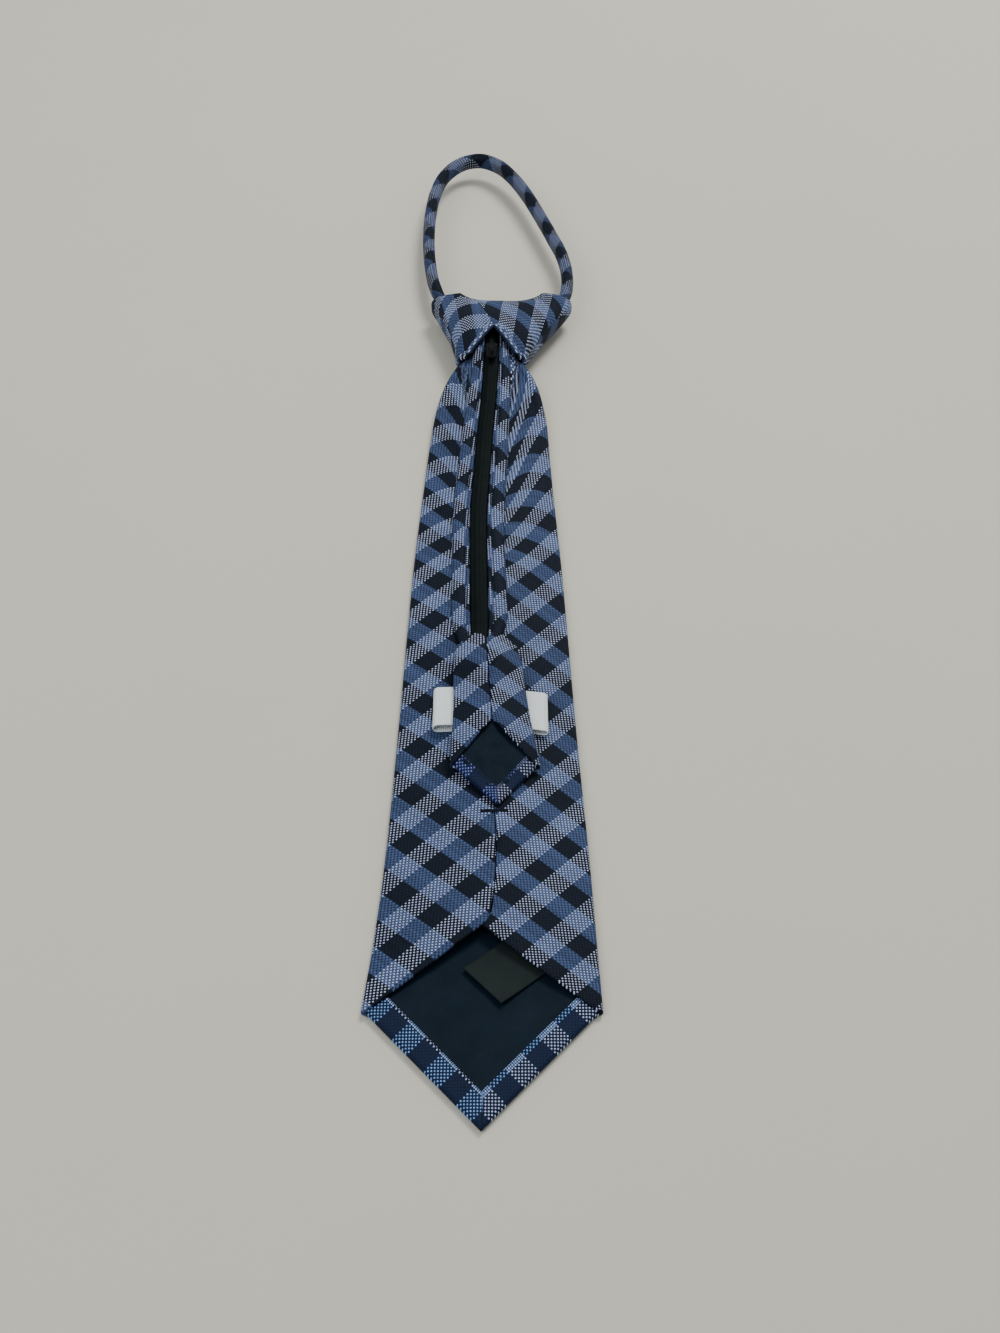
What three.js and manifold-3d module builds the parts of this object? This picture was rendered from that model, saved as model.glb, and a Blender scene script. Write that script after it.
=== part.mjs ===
// A pre-tied zipper necktie that lies face down, in millimetres with +Z up.
// The tip of the blade points along -Y, the neck loop lies along +Y and the back seams face up.
// The origin is on the flat front face, at the blade's widest line.
import * as THREE from 'three';
import Module from 'manifold-3d';

// Blade: one cloth folded to the back along both long edges, open at its pointed end
const bladeWidth = 89;
const bladeLength = 441;
const bladeTuck = 11;
const bladePoint = 50;
const bladeMouth = 90;
const bladeCloth = 1.2;
const bladeEdgeAir = 0.8;
const bladeRidgeAir = 1.1;
const bladeHem = 10;
const throatLift = 4.4;

// Tail: the short narrow blade that hangs on the lower end of the zipper
const tailTip = 146;
const tailLength = 88;
const tailWidth = 36.7;
const tailPoint = 20;
const tailMouth = 41;
const tailCloth = 1;
const tailEdgeAir = 0.9;
const tailRidgeRise = 1.9;
const tailHem = 5.5;
const tailLean = 5;
const tailShift = 5.7;
const tailPuff = 4.5;
const tailRamp = 28;
const tailRampMargin = 7;

// Linings, the care label and the keeper loop
const liningThickness = 1;
const liningTuck = 9;
const labelWidth = 21.5;
const labelLength = 23.5;
const labelThickness = 1;
const labelTurn = 38;
const labelCornerX = 7.2;
const labelCornerY = 52.5;
const keeperWidth = 48;
const keeperRibbon = 21.5;
const keeperThickness = 1;
const keeperHeightLeft = 4.6;
const keeperHeightRight = 3.2;
const keeperY = 187.8;
const keeperShift = 2.6;
const keeperSlope = -0.035;

// Zipper
const zipWidth = 8.2;
const zipTapeThickness = 1.1;
const zipChainWidth = 4.2;
const zipChainHeight = 1.8;
const zipBandWidth = 8;
const zipBandThickness = 2.6;
const zipBandTuck = 6;
const zipBandEnd = 21;
const sliderWidth = 6.4;
const sliderLength = 12;
const sliderThickness = 2.2;
const sliderBridge = 1.7;
const sliderBridgeWidth = 2.3;
const sliderDrop = 2.5;
const zipRamp = 14;

// Knot
const knotLength = 49;
const knotWidth = 72;
const knotThickness = 22;
const knotCloth = 2;
const knotRimLean = 0.45;
const knotSeamGap = 0.4;
const knotRimTurn = 14;

// Neck loop
const loopTuck = 6;
const loopWidth = 80;
const loopLength = 153;
const loopBandWidth = 6.4;
const loopBandHeight = 8.4;
const loopDrop = 0.2;
const loopSqueeze = 0.75;
const loopSqueezeFrom = 9;
const loopSqueezeTo = 34;

// Clearances and the form of the back
const pieceGap = 0.3;
const restGap = 0.35;
const seamGap = 0.4;

// Sizes that follow from the ones above: a folded edge holds two walls of cloth, and the blade's
// ridge also holds the lining and the label
const bladeEdge = 2 * bladeCloth + bladeEdgeAir;
const bladeRidge = 2 * bladeCloth + liningThickness + labelThickness + 3 * pieceGap + bladeRidgeAir;
const tailEdge = 2 * tailCloth + tailEdgeAir;
const tailRidge = tailEdge + tailRidgeRise;
const knotStart = bladeLength;
const sliderY = knotStart - sliderDrop;
const loopStart = knotStart + knotLength - loopTuck;
const loopHeight = knotThickness / 2 - loopDrop;

// Powers of the curves: the crown of a folded back, the sections of the knot and of the loop,
// the spacing of the rows along the blade and along the zipper
const crownPower = 1.4;
const knotPower = 2.7;
const loopPower = 2.3;
const bladeRowPower = 1.5;
const zipRowPower = 1.4;

// Numbers of steps across and along the pieces
const foldSteps = 4;
const bladeFlapSteps = 8;
const bladePanelSteps = 8;
const bladeRows = 26;
const tailFlapSteps = 5;
const tailPanelSteps = 8;
const tailRows = 16;
const hemSteps = 4;
const liningSteps = 5;
const labelSteps = 3;
const keeperEndSteps = 5;
const keeperFlatSteps = 8;
const bandSteps = 30;
const knotRows = 12;
const knotFrontSteps = 14;
const knotLobeSteps = 7;
const loopSteps = 56;
const loopSides = 10;

// Blade sections. at: share of the length from the corners to the knot.
// width and drift: shares of the blade's width. lift: share of throatLift.
// edge: share of bladeEdge. ridge: share of bladeRidge. pleat: share of pleatDepth.
const pleatDepth = 1.6;
const pleatFrom = 0.68;
const bladeSections = [
  { at: 0.0, width: 1.0, drift: 0.0, lift: 0, edge: 1.0, ridge: 1.16, pleat: 0 },
  { at: 0.08, width: 0.951, drift: 0.011, lift: 0, edge: 1.0, ridge: 1.16, pleat: 0 },
  { at: 0.18, width: 0.904, drift: 0.018, lift: 0, edge: 1.0, ridge: 1.08, pleat: 0 },
  { at: 0.36, width: 0.836, drift: 0.015, lift: 0, edge: 1.0, ridge: 1.0, pleat: 0 },
  { at: 0.54, width: 0.782, drift: 0.012, lift: 0, edge: 1.0, ridge: 1.0, pleat: 0 },
  { at: 0.65, width: 0.744, drift: 0.011, lift: 0, edge: 1.0, ridge: 1.0, pleat: 0 },
  { at: 0.76, width: 0.69, drift: 0.012, lift: 0, edge: 1.05, ridge: 1.02, pleat: 0 },
  { at: 0.83, width: 0.658, drift: 0.015, lift: 0.08, edge: 1.15, ridge: 1.08, pleat: 0.15 },
  { at: 0.89, width: 0.625, drift: 0.02, lift: 0.25, edge: 1.35, ridge: 1.2, pleat: 0.4 },
  { at: 0.925, width: 0.586, drift: 0.021, lift: 0.45, edge: 1.6, ridge: 1.34, pleat: 0.7 },
  { at: 0.953, width: 0.532, drift: 0.024, lift: 0.65, edge: 1.9, ridge: 1.48, pleat: 0.95 },
  { at: 0.974, width: 0.468, drift: 0.026, lift: 0.82, edge: 2.2, ridge: 1.6, pleat: 1 },
  { at: 0.99, width: 0.395, drift: 0.026, lift: 0.94, edge: 2.45, ridge: 1.68, pleat: 0.6 },
  { at: 1.0, width: 0.325, drift: 0.026, lift: 1, edge: 2.5, ridge: 1.66, pleat: 0.3 },
  { at: 1.028, width: 0.28, drift: 0.026, lift: 1, edge: 2.4, ridge: 1.6, pleat: 0.2 },
];

// Tail sections. at: share of the length from the corners to the top. width: share of tailWidth.
// edge and ridge: shares of tailEdge and tailRidge.
const tailSections = [
  { at: 0.0, width: 1.0, edge: 1, ridge: 1 },
  { at: 0.35, width: 0.88, edge: 1, ridge: 1.02 },
  { at: 0.7, width: 0.81, edge: 1.15, ridge: 1.2 },
  { at: 0.9, width: 0.77, edge: 1.52, ridge: 1.6 },
  { at: 1.0, width: 0.73, edge: 1.66, ridge: 1.7 },
];

// Zipper course. at: share of the length from the tail's top to the knot.
// middle: share of the blade's width, from the axis. slot and band: shares of zipWidth and zipBandWidth.
const zipCourse = [
  { at: -0.05, middle: -0.024, slot: 0.85, band: 0.44 },
  { at: 0.03, middle: -0.025, slot: 0.92, band: 0.66 },
  { at: 0.1, middle: -0.027, slot: 1.0, band: 1.0 },
  { at: 0.25, middle: -0.033, slot: 1.0, band: 1.0 },
  { at: 0.45, middle: -0.037, slot: 1.0, band: 0.98 },
  { at: 0.64, middle: -0.017, slot: 1.0, band: 0.95 },
  { at: 0.75, middle: -0.004, slot: 0.97, band: 0.9 },
  { at: 0.85, middle: 0.012, slot: 0.95, band: 0.84 },
  { at: 0.95, middle: 0.024, slot: 0.94, band: 0.72 },
  { at: 1.1, middle: 0.03, slot: 0.94, band: 0.7 },
];

// Knot sections. at: share of knotLength. left and right: shares of knotWidth, from the axis.
// front and back: shares of knotThickness. pinch: how far the two faces close in on each other.
const knotSections = [
  { at: 0.0, left: -0.215, right: 0.278, front: 0.02, back: 0.82, pinch: 0 },
  { at: 0.14, left: -0.229, right: 0.326, front: 0.0, back: 0.91, pinch: 0 },
  { at: 0.31, left: -0.257, right: 0.382, front: 0.0, back: 0.98, pinch: 0 },
  { at: 0.47, left: -0.292, right: 0.444, front: 0.0, back: 1.0, pinch: 0 },
  { at: 0.63, left: -0.33, right: 0.507, front: 0.0, back: 0.98, pinch: 0 },
  { at: 0.8, left: -0.37, right: 0.567, front: 0.02, back: 0.92, pinch: 0.05 },
  { at: 0.92, left: -0.4, right: 0.607, front: 0.06, back: 0.88, pinch: 0.35 },
  { at: 1.0, left: -0.405, right: 0.608, front: 0.11, back: 0.86, pinch: 0.66 },
];

// Inner edges of the knot's two lobes, which part at the foot to let the zipper out.
// at: share of knotLength. left and right: shares of knotWidth, from the axis.
const lobeEdges = [
  { at: 0.0, left: -0.135, right: 0.215 },
  { at: 0.12, left: -0.085, right: 0.17 },
  { at: 0.25, left: -0.02, right: 0.11 },
  { at: 0.36, left: 0.035, right: 0.06 },
  { at: 0.42, left: 0.035, right: 0.035 },
  { at: 0.7, left: -0.04, right: -0.04 },
  { at: 1.0, left: -0.115, right: -0.115 },
];

// Course of the neck loop's middle line. Its place across is held, a share of knotWidth, plus
// across, a share of loopWidth: the two ends are held by the knot. along: share of loopLength.
const loopCourse = [
  { held: -0.228, across: 0, along: -0.06 },
  { held: -0.276, across: 0, along: 0.01 },
  { held: -0.172, across: -0.155, along: 0.08 },
  { held: 0, across: -0.355, along: 0.17 },
  { held: 0, across: -0.385, along: 0.3 },
  { held: 0, across: -0.4, along: 0.45 },
  { held: 0, across: -0.395, along: 0.6 },
  { held: 0, across: -0.37, along: 0.74 },
  { held: 0, across: -0.305, along: 0.87 },
  { held: 0, across: -0.19, along: 0.955 },
  { held: 0, across: -0.055, along: 0.98 },
  { held: 0, across: 0.07, along: 0.94 },
  { held: 0, across: 0.17, along: 0.86 },
  { held: 0, across: 0.26, along: 0.75 },
  { held: 0, across: 0.345, along: 0.615 },
  { held: 0, across: 0.425, along: 0.475 },
  { held: 0, across: 0.5, along: 0.33 },
  { held: 0, across: 0.527, along: 0.19 },
  { held: 0.278, across: 0.25, along: 0.08 },
  { held: 0.473, across: 0, along: 0.01 },
  { held: 0.389, across: 0, along: -0.055 },
];

// Section of a zipper band's rounded top. across: share of its width. up: share of its thickness.
const bandCrown = [
  { across: 1, up: 0.55 },
  { across: 0.88, up: 0.9 },
  { across: 0.5, up: 1 },
  { across: 0.12, up: 0.9 },
  { across: 0, up: 0.55 },
];

// Sections of the slider's plate. along: share of its length from the middle.
// width: share of its width. low and high: shares of its thickness.
const sliderPlate = [
  { along: -0.5, width: 0.6, low: 0.15, high: 0.7 },
  { along: -0.4, width: 0.78, low: 0, high: 0.95 },
  { along: 0.0, width: 0.86, low: 0, high: 1 },
  { along: 0.3, width: 1.0, low: 0, high: 1 },
  { along: 0.46, width: 0.92, low: 0, high: 0.9 },
  { along: 0.5, width: 0.7, low: 0.15, high: 0.65 },
];

// Sections of the slider's bridge. along: share of the slider's length. up: share of sliderBridge.
const sliderBridgeRows = [
  { along: -0.34, up: 0.1 },
  { along: -0.24, up: 0.8 },
  { along: -0.05, up: 1 },
  { along: 0.14, up: 0.8 },
  { along: 0.24, up: 0.1 },
];
const sliderBevel = 0.3;
const sliderBridgeTop = 0.5;

// Share of the knot's half width, and the power, within which its two faces close at the top
const knotClosed = 0.58;
const knotClosedPower = 4;
const knotAngleStep = 0.02;

// Materials
function cloth(color, roughness) {
  return new THREE.MeshStandardMaterial({ color, roughness, metalness: 0 });
}
const checkCloth = cloth(0x55668c, 0.62);
const liningSatin = cloth(0x141a26, 0.42);
const labelSatin = cloth(0x23261f, 0.5);
const keeperRibbonCloth = cloth(0xd9dcda, 0.6);
const zipCloth = cloth(0x14161a, 0.7);
const sliderPaint = new THREE.MeshStandardMaterial({ color: 0x101113, roughness: 0.35, metalness: 0.4 });

// Value of one column of a table, on a smooth curve through its rows
function columnValue(rows, name, at) {
  const last = rows.length - 1;
  if (at <= rows[0].at) {
    return rows[0][name];
  }
  if (at >= rows[last].at) {
    return rows[last][name];
  }
  let index = 0;
  while (rows[index + 1].at < at) {
    index += 1;
  }
  const slope = (k) => {
    const before = rows[Math.max(k - 1, 0)];
    const after = rows[Math.min(k + 1, last)];
    return (after[name] - before[name]) / (after.at - before.at);
  };
  const from = rows[index];
  const to = rows[index + 1];
  const span = to.at - from.at;
  const t = (at - from.at) / span;
  const rise = to[name] - from[name];
  const a = slope(index) * span - rise;
  const b = rise - slope(index + 1) * span;
  return from[name] + t * rise + t * (1 - t) * (a * (1 - t) + b * t);
}

// Value of one column of a table, on straight lines between its rows
function lineValue(rows, name, at) {
  const last = rows.length - 1;
  let index = 0;
  while (index < last - 1 && rows[index + 1].at < at) {
    index += 1;
  }
  const from = rows[index];
  const to = rows[index + 1];
  const t = THREE.MathUtils.clamp((at - from.at) / (to.at - from.at), 0, 1);
  return THREE.MathUtils.lerp(from[name], to[name], t);
}

// Geometry from points and triangles, turned so that its faces point out
function closedGeometry(points, triangles) {
  let volume = 0;
  const cross = new THREE.Vector3();
  for (const [a, b, c] of triangles) {
    cross.crossVectors(points[b], points[c]);
    volume += points[a].dot(cross);
  }
  const facing = volume < 0 ? triangles.map(([a, b, c]) => [a, c, b]) : triangles;
  const positions = points.flatMap((p) => [p.x, p.y, p.z]);
  const geometry = new THREE.BufferGeometry();
  geometry.setAttribute('position', new THREE.Float32BufferAttribute(positions, 3));
  geometry.setIndex(facing.flat());
  geometry.computeVertexNormals();
  return geometry;
}

// Closed sheet between an outer and an inner grid of points; a loop joins its last column to its first
function sheetGeometry(outer, inner, loop) {
  const rows = outer.length;
  const columns = outer[0].length;
  const points = [...outer.flat(), ...inner.flat()];
  const innerStart = rows * columns;
  const triangles = [];
  const quad = (a, b, c, d) => {
    triangles.push([a, b, c]);
    triangles.push([a, c, d]);
  };
  const at = (row, column) => row * columns + (column % columns);
  const steps = loop ? columns : columns - 1;
  for (let row = 0; row < rows - 1; row += 1) {
    for (let column = 0; column < steps; column += 1) {
      const a = at(row, column);
      const b = at(row, column + 1);
      const c = at(row + 1, column + 1);
      const d = at(row + 1, column);
      quad(a, b, c, d);
      quad(innerStart + d, innerStart + c, innerStart + b, innerStart + a);
    }
  }
  for (let column = 0; column < steps; column += 1) {
    const firstA = at(0, column);
    const firstB = at(0, column + 1);
    const lastA = at(rows - 1, column);
    const lastB = at(rows - 1, column + 1);
    quad(firstB, firstA, innerStart + firstA, innerStart + firstB);
    quad(lastA, lastB, innerStart + lastB, innerStart + lastA);
  }
  if (!loop) {
    for (let row = 0; row < rows - 1; row += 1) {
      const leftA = at(row, 0);
      const leftB = at(row + 1, 0);
      const rightA = at(row, columns - 1);
      const rightB = at(row + 1, columns - 1);
      quad(leftA, leftB, innerStart + leftB, innerStart + leftA);
      quad(rightB, rightA, innerStart + rightA, innerStart + rightB);
    }
  }
  return closedGeometry(points, triangles);
}

// Solid skinned through closed rings of points, with flat ends
function loftGeometry(rings) {
  const count = rings[0].length;
  const points = rings.flat();
  const triangles = [];
  for (let row = 0; row < rings.length - 1; row += 1) {
    for (let index = 0; index < count; index += 1) {
      const next = (index + 1) % count;
      const a = row * count + index;
      const b = row * count + next;
      triangles.push([a, b, b + count]);
      triangles.push([a, b + count, a + count]);
    }
  }
  const lastStart = (rings.length - 1) * count;
  for (let index = 1; index < count - 1; index += 1) {
    triangles.push([0, index + 1, index]);
    triangles.push([lastStart, lastStart + index, lastStart + index + 1]);
  }
  return closedGeometry(points, triangles);
}

// Inner line of a folded section: the outer line set back by the thickness of the cloth
function setBack(line, thickness) {
  return line.map((point, index) => {
    const before = line[Math.max(index - 1, 0)];
    const after = line[Math.min(index + 1, line.length - 1)];
    const dx = after.x - before.x;
    const dz = after.z - before.z;
    const length = Math.hypot(dx, dz);
    return { x: point.x - (dz / length) * thickness, z: point.z + (dx / length) * thickness };
  });
}

// Folded form: a front panel whose two sides fold over to meet at a seam on the back.
// Blade and tail are both such forms, each with its own state at a place y along it.
function formColumns(flapSteps, panelSteps) {
  const columns = [];
  for (let step = 0; step <= flapSteps; step += 1) {
    columns.push({ kind: 'flap', side: -1, share: step / flapSteps });
  }
  for (let step = 1; step < foldSteps; step += 1) {
    columns.push({ kind: 'fold', side: -1, angle: Math.PI * (0.5 - step / foldSteps) });
  }
  for (let step = 0; step <= panelSteps; step += 1) {
    columns.push({ kind: 'panel', share: (2 * step) / panelSteps - 1 });
  }
  for (let step = foldSteps - 1; step > 0; step -= 1) {
    columns.push({ kind: 'fold', side: 1, angle: Math.PI * (0.5 - step / foldSteps) });
  }
  for (let step = flapSteps; step >= 0; step -= 1) {
    columns.push({ kind: 'flap', side: 1, share: step / flapSteps });
  }
  return columns;
}

// Height of the back over the front face, at a share of the way from the seam to the edge
function backHeight(state, share) {
  const crown = 1 - Math.pow(share, crownPower);
  const groove = THREE.MathUtils.clamp((share - pleatFrom) / (1 - pleatFrom), 0, 1);
  const pleat = state.pleat * Math.pow(Math.sin(Math.PI * groove), 2);
  return state.edge + (state.ridge - state.edge) * crown - pleat;
}

function formPoint(column, state) {
  const radius = state.edge / 2;
  const reach = state.half - radius;
  if (column.kind === 'flap') {
    const away = Math.max(column.share * reach, seamGap / 2);
    return { x: state.middle + column.side * away, z: backHeight(state, column.share) };
  }
  if (column.kind === 'fold') {
    const x = state.middle + column.side * (reach + radius * Math.cos(column.angle));
    return { x, z: radius + radius * Math.sin(column.angle) };
  }
  return { x: state.middle + column.share * reach, z: 0 };
}

function formStart(form, column) {
  if (column.kind === 'flap') {
    return THREE.MathUtils.lerp(form.mouth, form.corner, column.share);
  }
  if (column.kind === 'panel') {
    return THREE.MathUtils.lerp(form.tip, form.corner, Math.abs(column.share));
  }
  return form.corner;
}

function formShell(form) {
  const outer = [];
  const inner = [];
  for (let row = 0; row <= form.rows; row += 1) {
    const share = 1 - Math.pow(1 - row / form.rows, form.rowPower);
    const ys = form.columns.map((column) => {
      const end = form.end + form.rise(column);
      return THREE.MathUtils.lerp(formStart(form, column), end, share);
    });
    const line = form.columns.map((column, index) => formPoint(column, form.state(ys[index])));
    const back = setBack(line, form.cloth);
    const place = (p, index) => new THREE.Vector3(p.x, ys[index], p.z + form.base(p.x, ys[index]));
    outer.push(line.map(place));
    inner.push(back.map(place));
  }
  return sheetGeometry(outer, inner, false);
}

// Sheet of even thickness laid over a floor, between two lines of plan points
function laidSheet(lowLine, highLine, steps, floor, thickness) {
  const bottom = [];
  const top = [];
  for (let row = 0; row <= steps; row += 1) {
    const line = lowLine.map((low, index) => {
      const x = THREE.MathUtils.lerp(low.x, highLine[index].x, row / steps);
      const y = THREE.MathUtils.lerp(low.y, highLine[index].y, row / steps);
      return new THREE.Vector3(x, y, floor(x, y));
    });
    bottom.push(line);
    top.push(line.map((p) => new THREE.Vector3(p.x, p.y, p.z + thickness)));
  }
  return sheetGeometry(top, bottom, false);
}

// Line with extra points spread evenly between the given ones
function spreadLine(points, steps) {
  const line = [];
  for (let index = 0; index < points.length - 1; index += 1) {
    for (let step = 0; step < steps; step += 1) {
      const t = step / steps;
      const x = THREE.MathUtils.lerp(points[index].x, points[index + 1].x, t);
      const y = THREE.MathUtils.lerp(points[index].y, points[index + 1].y, t);
      line.push({ x, y });
    }
  }
  line.push(points[points.length - 1]);
  return line;
}

// Plan of the open mouth: a hem along both sides of the point, and the lining above it
function mouthPlan(form) {
  const state = form.state(form.corner);
  const half = state.half - state.edge / 2;
  const rise = form.corner - form.tip;
  const slant = Math.hypot(half, rise);
  const alongX = half / slant;
  const alongY = rise / slant;
  const flapSlope = (form.mouth - form.corner) / half;
  const edgeMargin = 2 * pieceGap;
  const tipX = form.state(form.tip).middle;
  // Length along the point's side, at a distance in from it, where the flap's edge covers it
  const reachAt = (inset) => {
    const top = form.mouth - form.tip - edgeMargin;
    return (top - inset * alongX + flapSlope * inset * alongY) / (alongY + flapSlope * alongX);
  };
  const place = (side, inset, reach) => {
    const y = form.tip + reach * alongY + inset * alongX;
    const drift = form.state(y).middle - tipX;
    return { x: tipX + side * (reach * alongX - inset * alongY) + drift, y };
  };
  const hemFoot = (form.hem * alongY) / alongX;
  const liningInset = form.hem + pieceGap;
  const liningFoot = (liningInset * alongY) / alongX;
  const outerReach = Math.min(reachAt(0), slant - edgeMargin);
  const hemOuter = [place(-1, 0, outerReach), place(1, 0, 0), place(1, 0, outerReach)];
  const hemInner = [
    place(-1, form.hem, reachAt(form.hem)),
    place(1, form.hem, hemFoot),
    place(1, form.hem, reachAt(form.hem)),
  ];
  const liningReach = reachAt(liningInset);
  const lower = [
    place(-1, liningInset, liningReach),
    place(1, liningInset, liningFoot),
    place(1, liningInset, liningReach),
  ];
  const top = { x: form.state(form.mouth).middle, y: form.mouth + form.liningTuck };
  return { hemOuter, hemInner, lower, upper: [lower[0], top, lower[2]] };
}

function formHem(form) {
  const plan = mouthPlan(form);
  const floor = (x, y) => form.base(x, y) + form.cloth + pieceGap;
  const outer = spreadLine(plan.hemOuter, hemSteps);
  const inner = spreadLine(plan.hemInner, hemSteps);
  return laidSheet(outer, inner, hemSteps / 2, floor, form.cloth);
}

// The lining is a four-sided sheet: its two lower sides follow the hem and its two upper sides lie
// under the flaps
function formLining(form) {
  const plan = mouthPlan(form);
  const [left, foot, right] = plan.lower;
  const head = plan.upper[1];
  const floor = (x, y) => form.base(x, y) + form.cloth + pieceGap;
  const low = spreadLine([foot, right], liningSteps);
  const high = spreadLine([left, head], liningSteps);
  return laidSheet(low, high, liningSteps, floor, liningThickness);
}

// Blade
const bladeBody = bladeLength - bladePoint;

function bladeState(y) {
  const at = (y - bladePoint) / bladeBody;
  return {
    middle: columnValue(bladeSections, 'drift', at) * bladeWidth,
    half: (columnValue(bladeSections, 'width', at) * bladeWidth) / 2,
    lift: columnValue(bladeSections, 'lift', at) * throatLift,
    edge: columnValue(bladeSections, 'edge', at) * bladeEdge,
    ridge: columnValue(bladeSections, 'ridge', at) * bladeRidge,
    pleat: columnValue(bladeSections, 'pleat', at) * pleatDepth,
  };
}

// Height of the blade's back over the surface that it lies on
function bladeBack(x, y) {
  const state = bladeState(y);
  const reach = state.half - state.edge / 2;
  const share = THREE.MathUtils.clamp(Math.abs(x - state.middle) / reach, 0, 1);
  return state.lift + backHeight(state, share);
}

const bladeForm = {
  tip: 0,
  corner: bladePoint,
  mouth: bladeMouth,
  end: bladeLength + bladeTuck,
  cloth: bladeCloth,
  hem: bladeHem,
  liningTuck,
  rows: bladeRows,
  rowPower: bladeRowPower,
  columns: formColumns(bladeFlapSteps, bladePanelSteps),
  state: bladeState,
  base: (x, y) => bladeState(y).lift,
  rise: () => 0,
};

// Keeper loop: a ribbon sewn across the back seam, as a flattened ring
function keeperHeight(x) {
  const share = (x - keeperShift) / keeperWidth + 0.5;
  return THREE.MathUtils.lerp(keeperHeightLeft, keeperHeightRight, THREE.MathUtils.clamp(share, 0, 1));
}

function keeperGeometry() {
  const outer = [];
  const inner = [];
  const leftRadius = keeperHeightLeft / 2;
  const rightRadius = keeperHeightRight / 2;
  const left = keeperShift - keeperWidth / 2 + leftRadius;
  const right = keeperShift + keeperWidth / 2 - rightRadius;
  const line = [];
  for (let step = 0; step < keeperFlatSteps; step += 1) {
    const t = step / keeperFlatSteps;
    const z = THREE.MathUtils.lerp(keeperHeightRight, keeperHeightLeft, t);
    line.push({ x: THREE.MathUtils.lerp(right, left, t), z });
  }
  for (let step = 0; step < keeperEndSteps; step += 1) {
    const angle = Math.PI * (0.5 + step / keeperEndSteps);
    line.push({ x: left + leftRadius * Math.cos(angle), z: leftRadius + leftRadius * Math.sin(angle) });
  }
  for (let step = 0; step < keeperFlatSteps; step += 1) {
    line.push({ x: THREE.MathUtils.lerp(left, right, step / keeperFlatSteps), z: 0 });
  }
  for (let step = 0; step < keeperEndSteps; step += 1) {
    const angle = Math.PI * (1.5 + step / keeperEndSteps);
    line.push({ x: right + rightRadius * Math.cos(angle), z: rightRadius + rightRadius * Math.sin(angle) });
  }
  const ring = [line[line.length - 1], ...line, line[0]];
  const back = setBack(ring, keeperThickness).slice(1, -1);
  for (let row = 0; row <= 2; row += 1) {
    const place = (p) => {
      const y = keeperY + (keeperRibbon * row) / 2 + keeperSlope * (p.x - keeperShift);
      return new THREE.Vector3(p.x, y, p.z + bladeBack(p.x, y) + restGap);
    };
    outer.push(line.map(place));
    inner.push(back.map(place));
  }
  return sheetGeometry(outer, inner, true);
}

// Tail
const tailCorner = tailTip + tailPoint;
const tailTop = tailTip + tailLength;

function tailState(y) {
  const at = (y - tailCorner) / (tailTop - tailCorner);
  return {
    middle: tailShift - (tailLean * (y - tailTip)) / tailLength,
    half: (columnValue(tailSections, 'width', at) * tailWidth) / 2,
    edge: columnValue(tailSections, 'edge', at) * tailEdge,
    ridge: columnValue(tailSections, 'ridge', at) * tailRidge,
    pleat: 0,
  };
}

// How far the tail is lifted where it rides over the keeper loop
function keeperRide(x, y) {
  const low = keeperY - tailRampMargin;
  const high = keeperY + keeperRibbon + tailRampMargin;
  const up = THREE.MathUtils.smoothstep(y, low - tailRamp, low);
  const down = 1 - THREE.MathUtils.smoothstep(y, high, high + tailRamp);
  return (keeperHeight(x) + restGap) * up * down;
}

function tailFloor(x, y) {
  return bladeBack(x, y) + restGap + keeperRide(x, y);
}

// The two flaps of the tail end in a round hump each, over the lower ends of the zipper bands
function tailRise(column) {
  if (column.kind !== 'flap') {
    return 0;
  }
  return tailPuff * Math.sqrt(Math.max(1 - Math.pow(2 * column.share - 1, 2), 0));
}

const tailForm = {
  tip: tailTip,
  corner: tailCorner,
  mouth: tailTip + tailMouth,
  end: tailTop,
  cloth: tailCloth,
  hem: tailHem,
  liningTuck: liningTuck / 2,
  rows: tailRows,
  rowPower: 1,
  columns: formColumns(tailFlapSteps, tailPanelSteps),
  state: tailState,
  base: tailFloor,
  rise: tailRise,
};

// Zipper: a black strip between two bands of the tie's cloth, on the blade's back
const zipStart = tailTop - zipBandTuck;
const zipSpan = knotStart - tailTop;

function zipState(y) {
  const at = (y - tailTop) / zipSpan;
  return {
    middle: columnValue(zipCourse, 'middle', at) * bladeWidth,
    slot: (columnValue(zipCourse, 'slot', at) * zipWidth) / 2,
    band: columnValue(zipCourse, 'band', at) * zipBandWidth,
  };
}

// The zipper's lower end climbs over the tail's front cloth to lie inside the tail
function zipFloor(x, y) {
  const climb = tailCloth + pieceGap;
  const top = tailTop + tailPuff;
  const share = 1 - THREE.MathUtils.smoothstep(y, top, top + zipRamp);
  return tailFloor(x, y) + climb * share;
}

// Place of a row along the zipper; the rows lie closer together towards the knot
function zipRowPlace(start, end, share) {
  return THREE.MathUtils.lerp(start, end, 1 - Math.pow(1 - share, zipRowPower));
}

// Bar with a rounded top that follows the zipper; its sides are given for each place along it
function zipBar(start, end, steps, sides, height) {
  const bottomSteps = 3;
  const rings = [];
  for (let row = 0; row <= steps; row += 1) {
    const y = zipRowPlace(start, end, row / steps);
    const [left, right] = sides(zipState(y));
    const ring = [];
    for (let step = 0; step <= bottomSteps; step += 1) {
      const x = THREE.MathUtils.lerp(left, right, step / bottomSteps);
      ring.push(new THREE.Vector3(x, y, zipFloor(x, y)));
    }
    for (const corner of bandCrown) {
      const x = THREE.MathUtils.lerp(left, right, corner.across);
      ring.push(new THREE.Vector3(x, y, zipFloor(x, y) + height * corner.up));
    }
    rings.push(ring);
  }
  return loftGeometry(rings);
}

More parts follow.
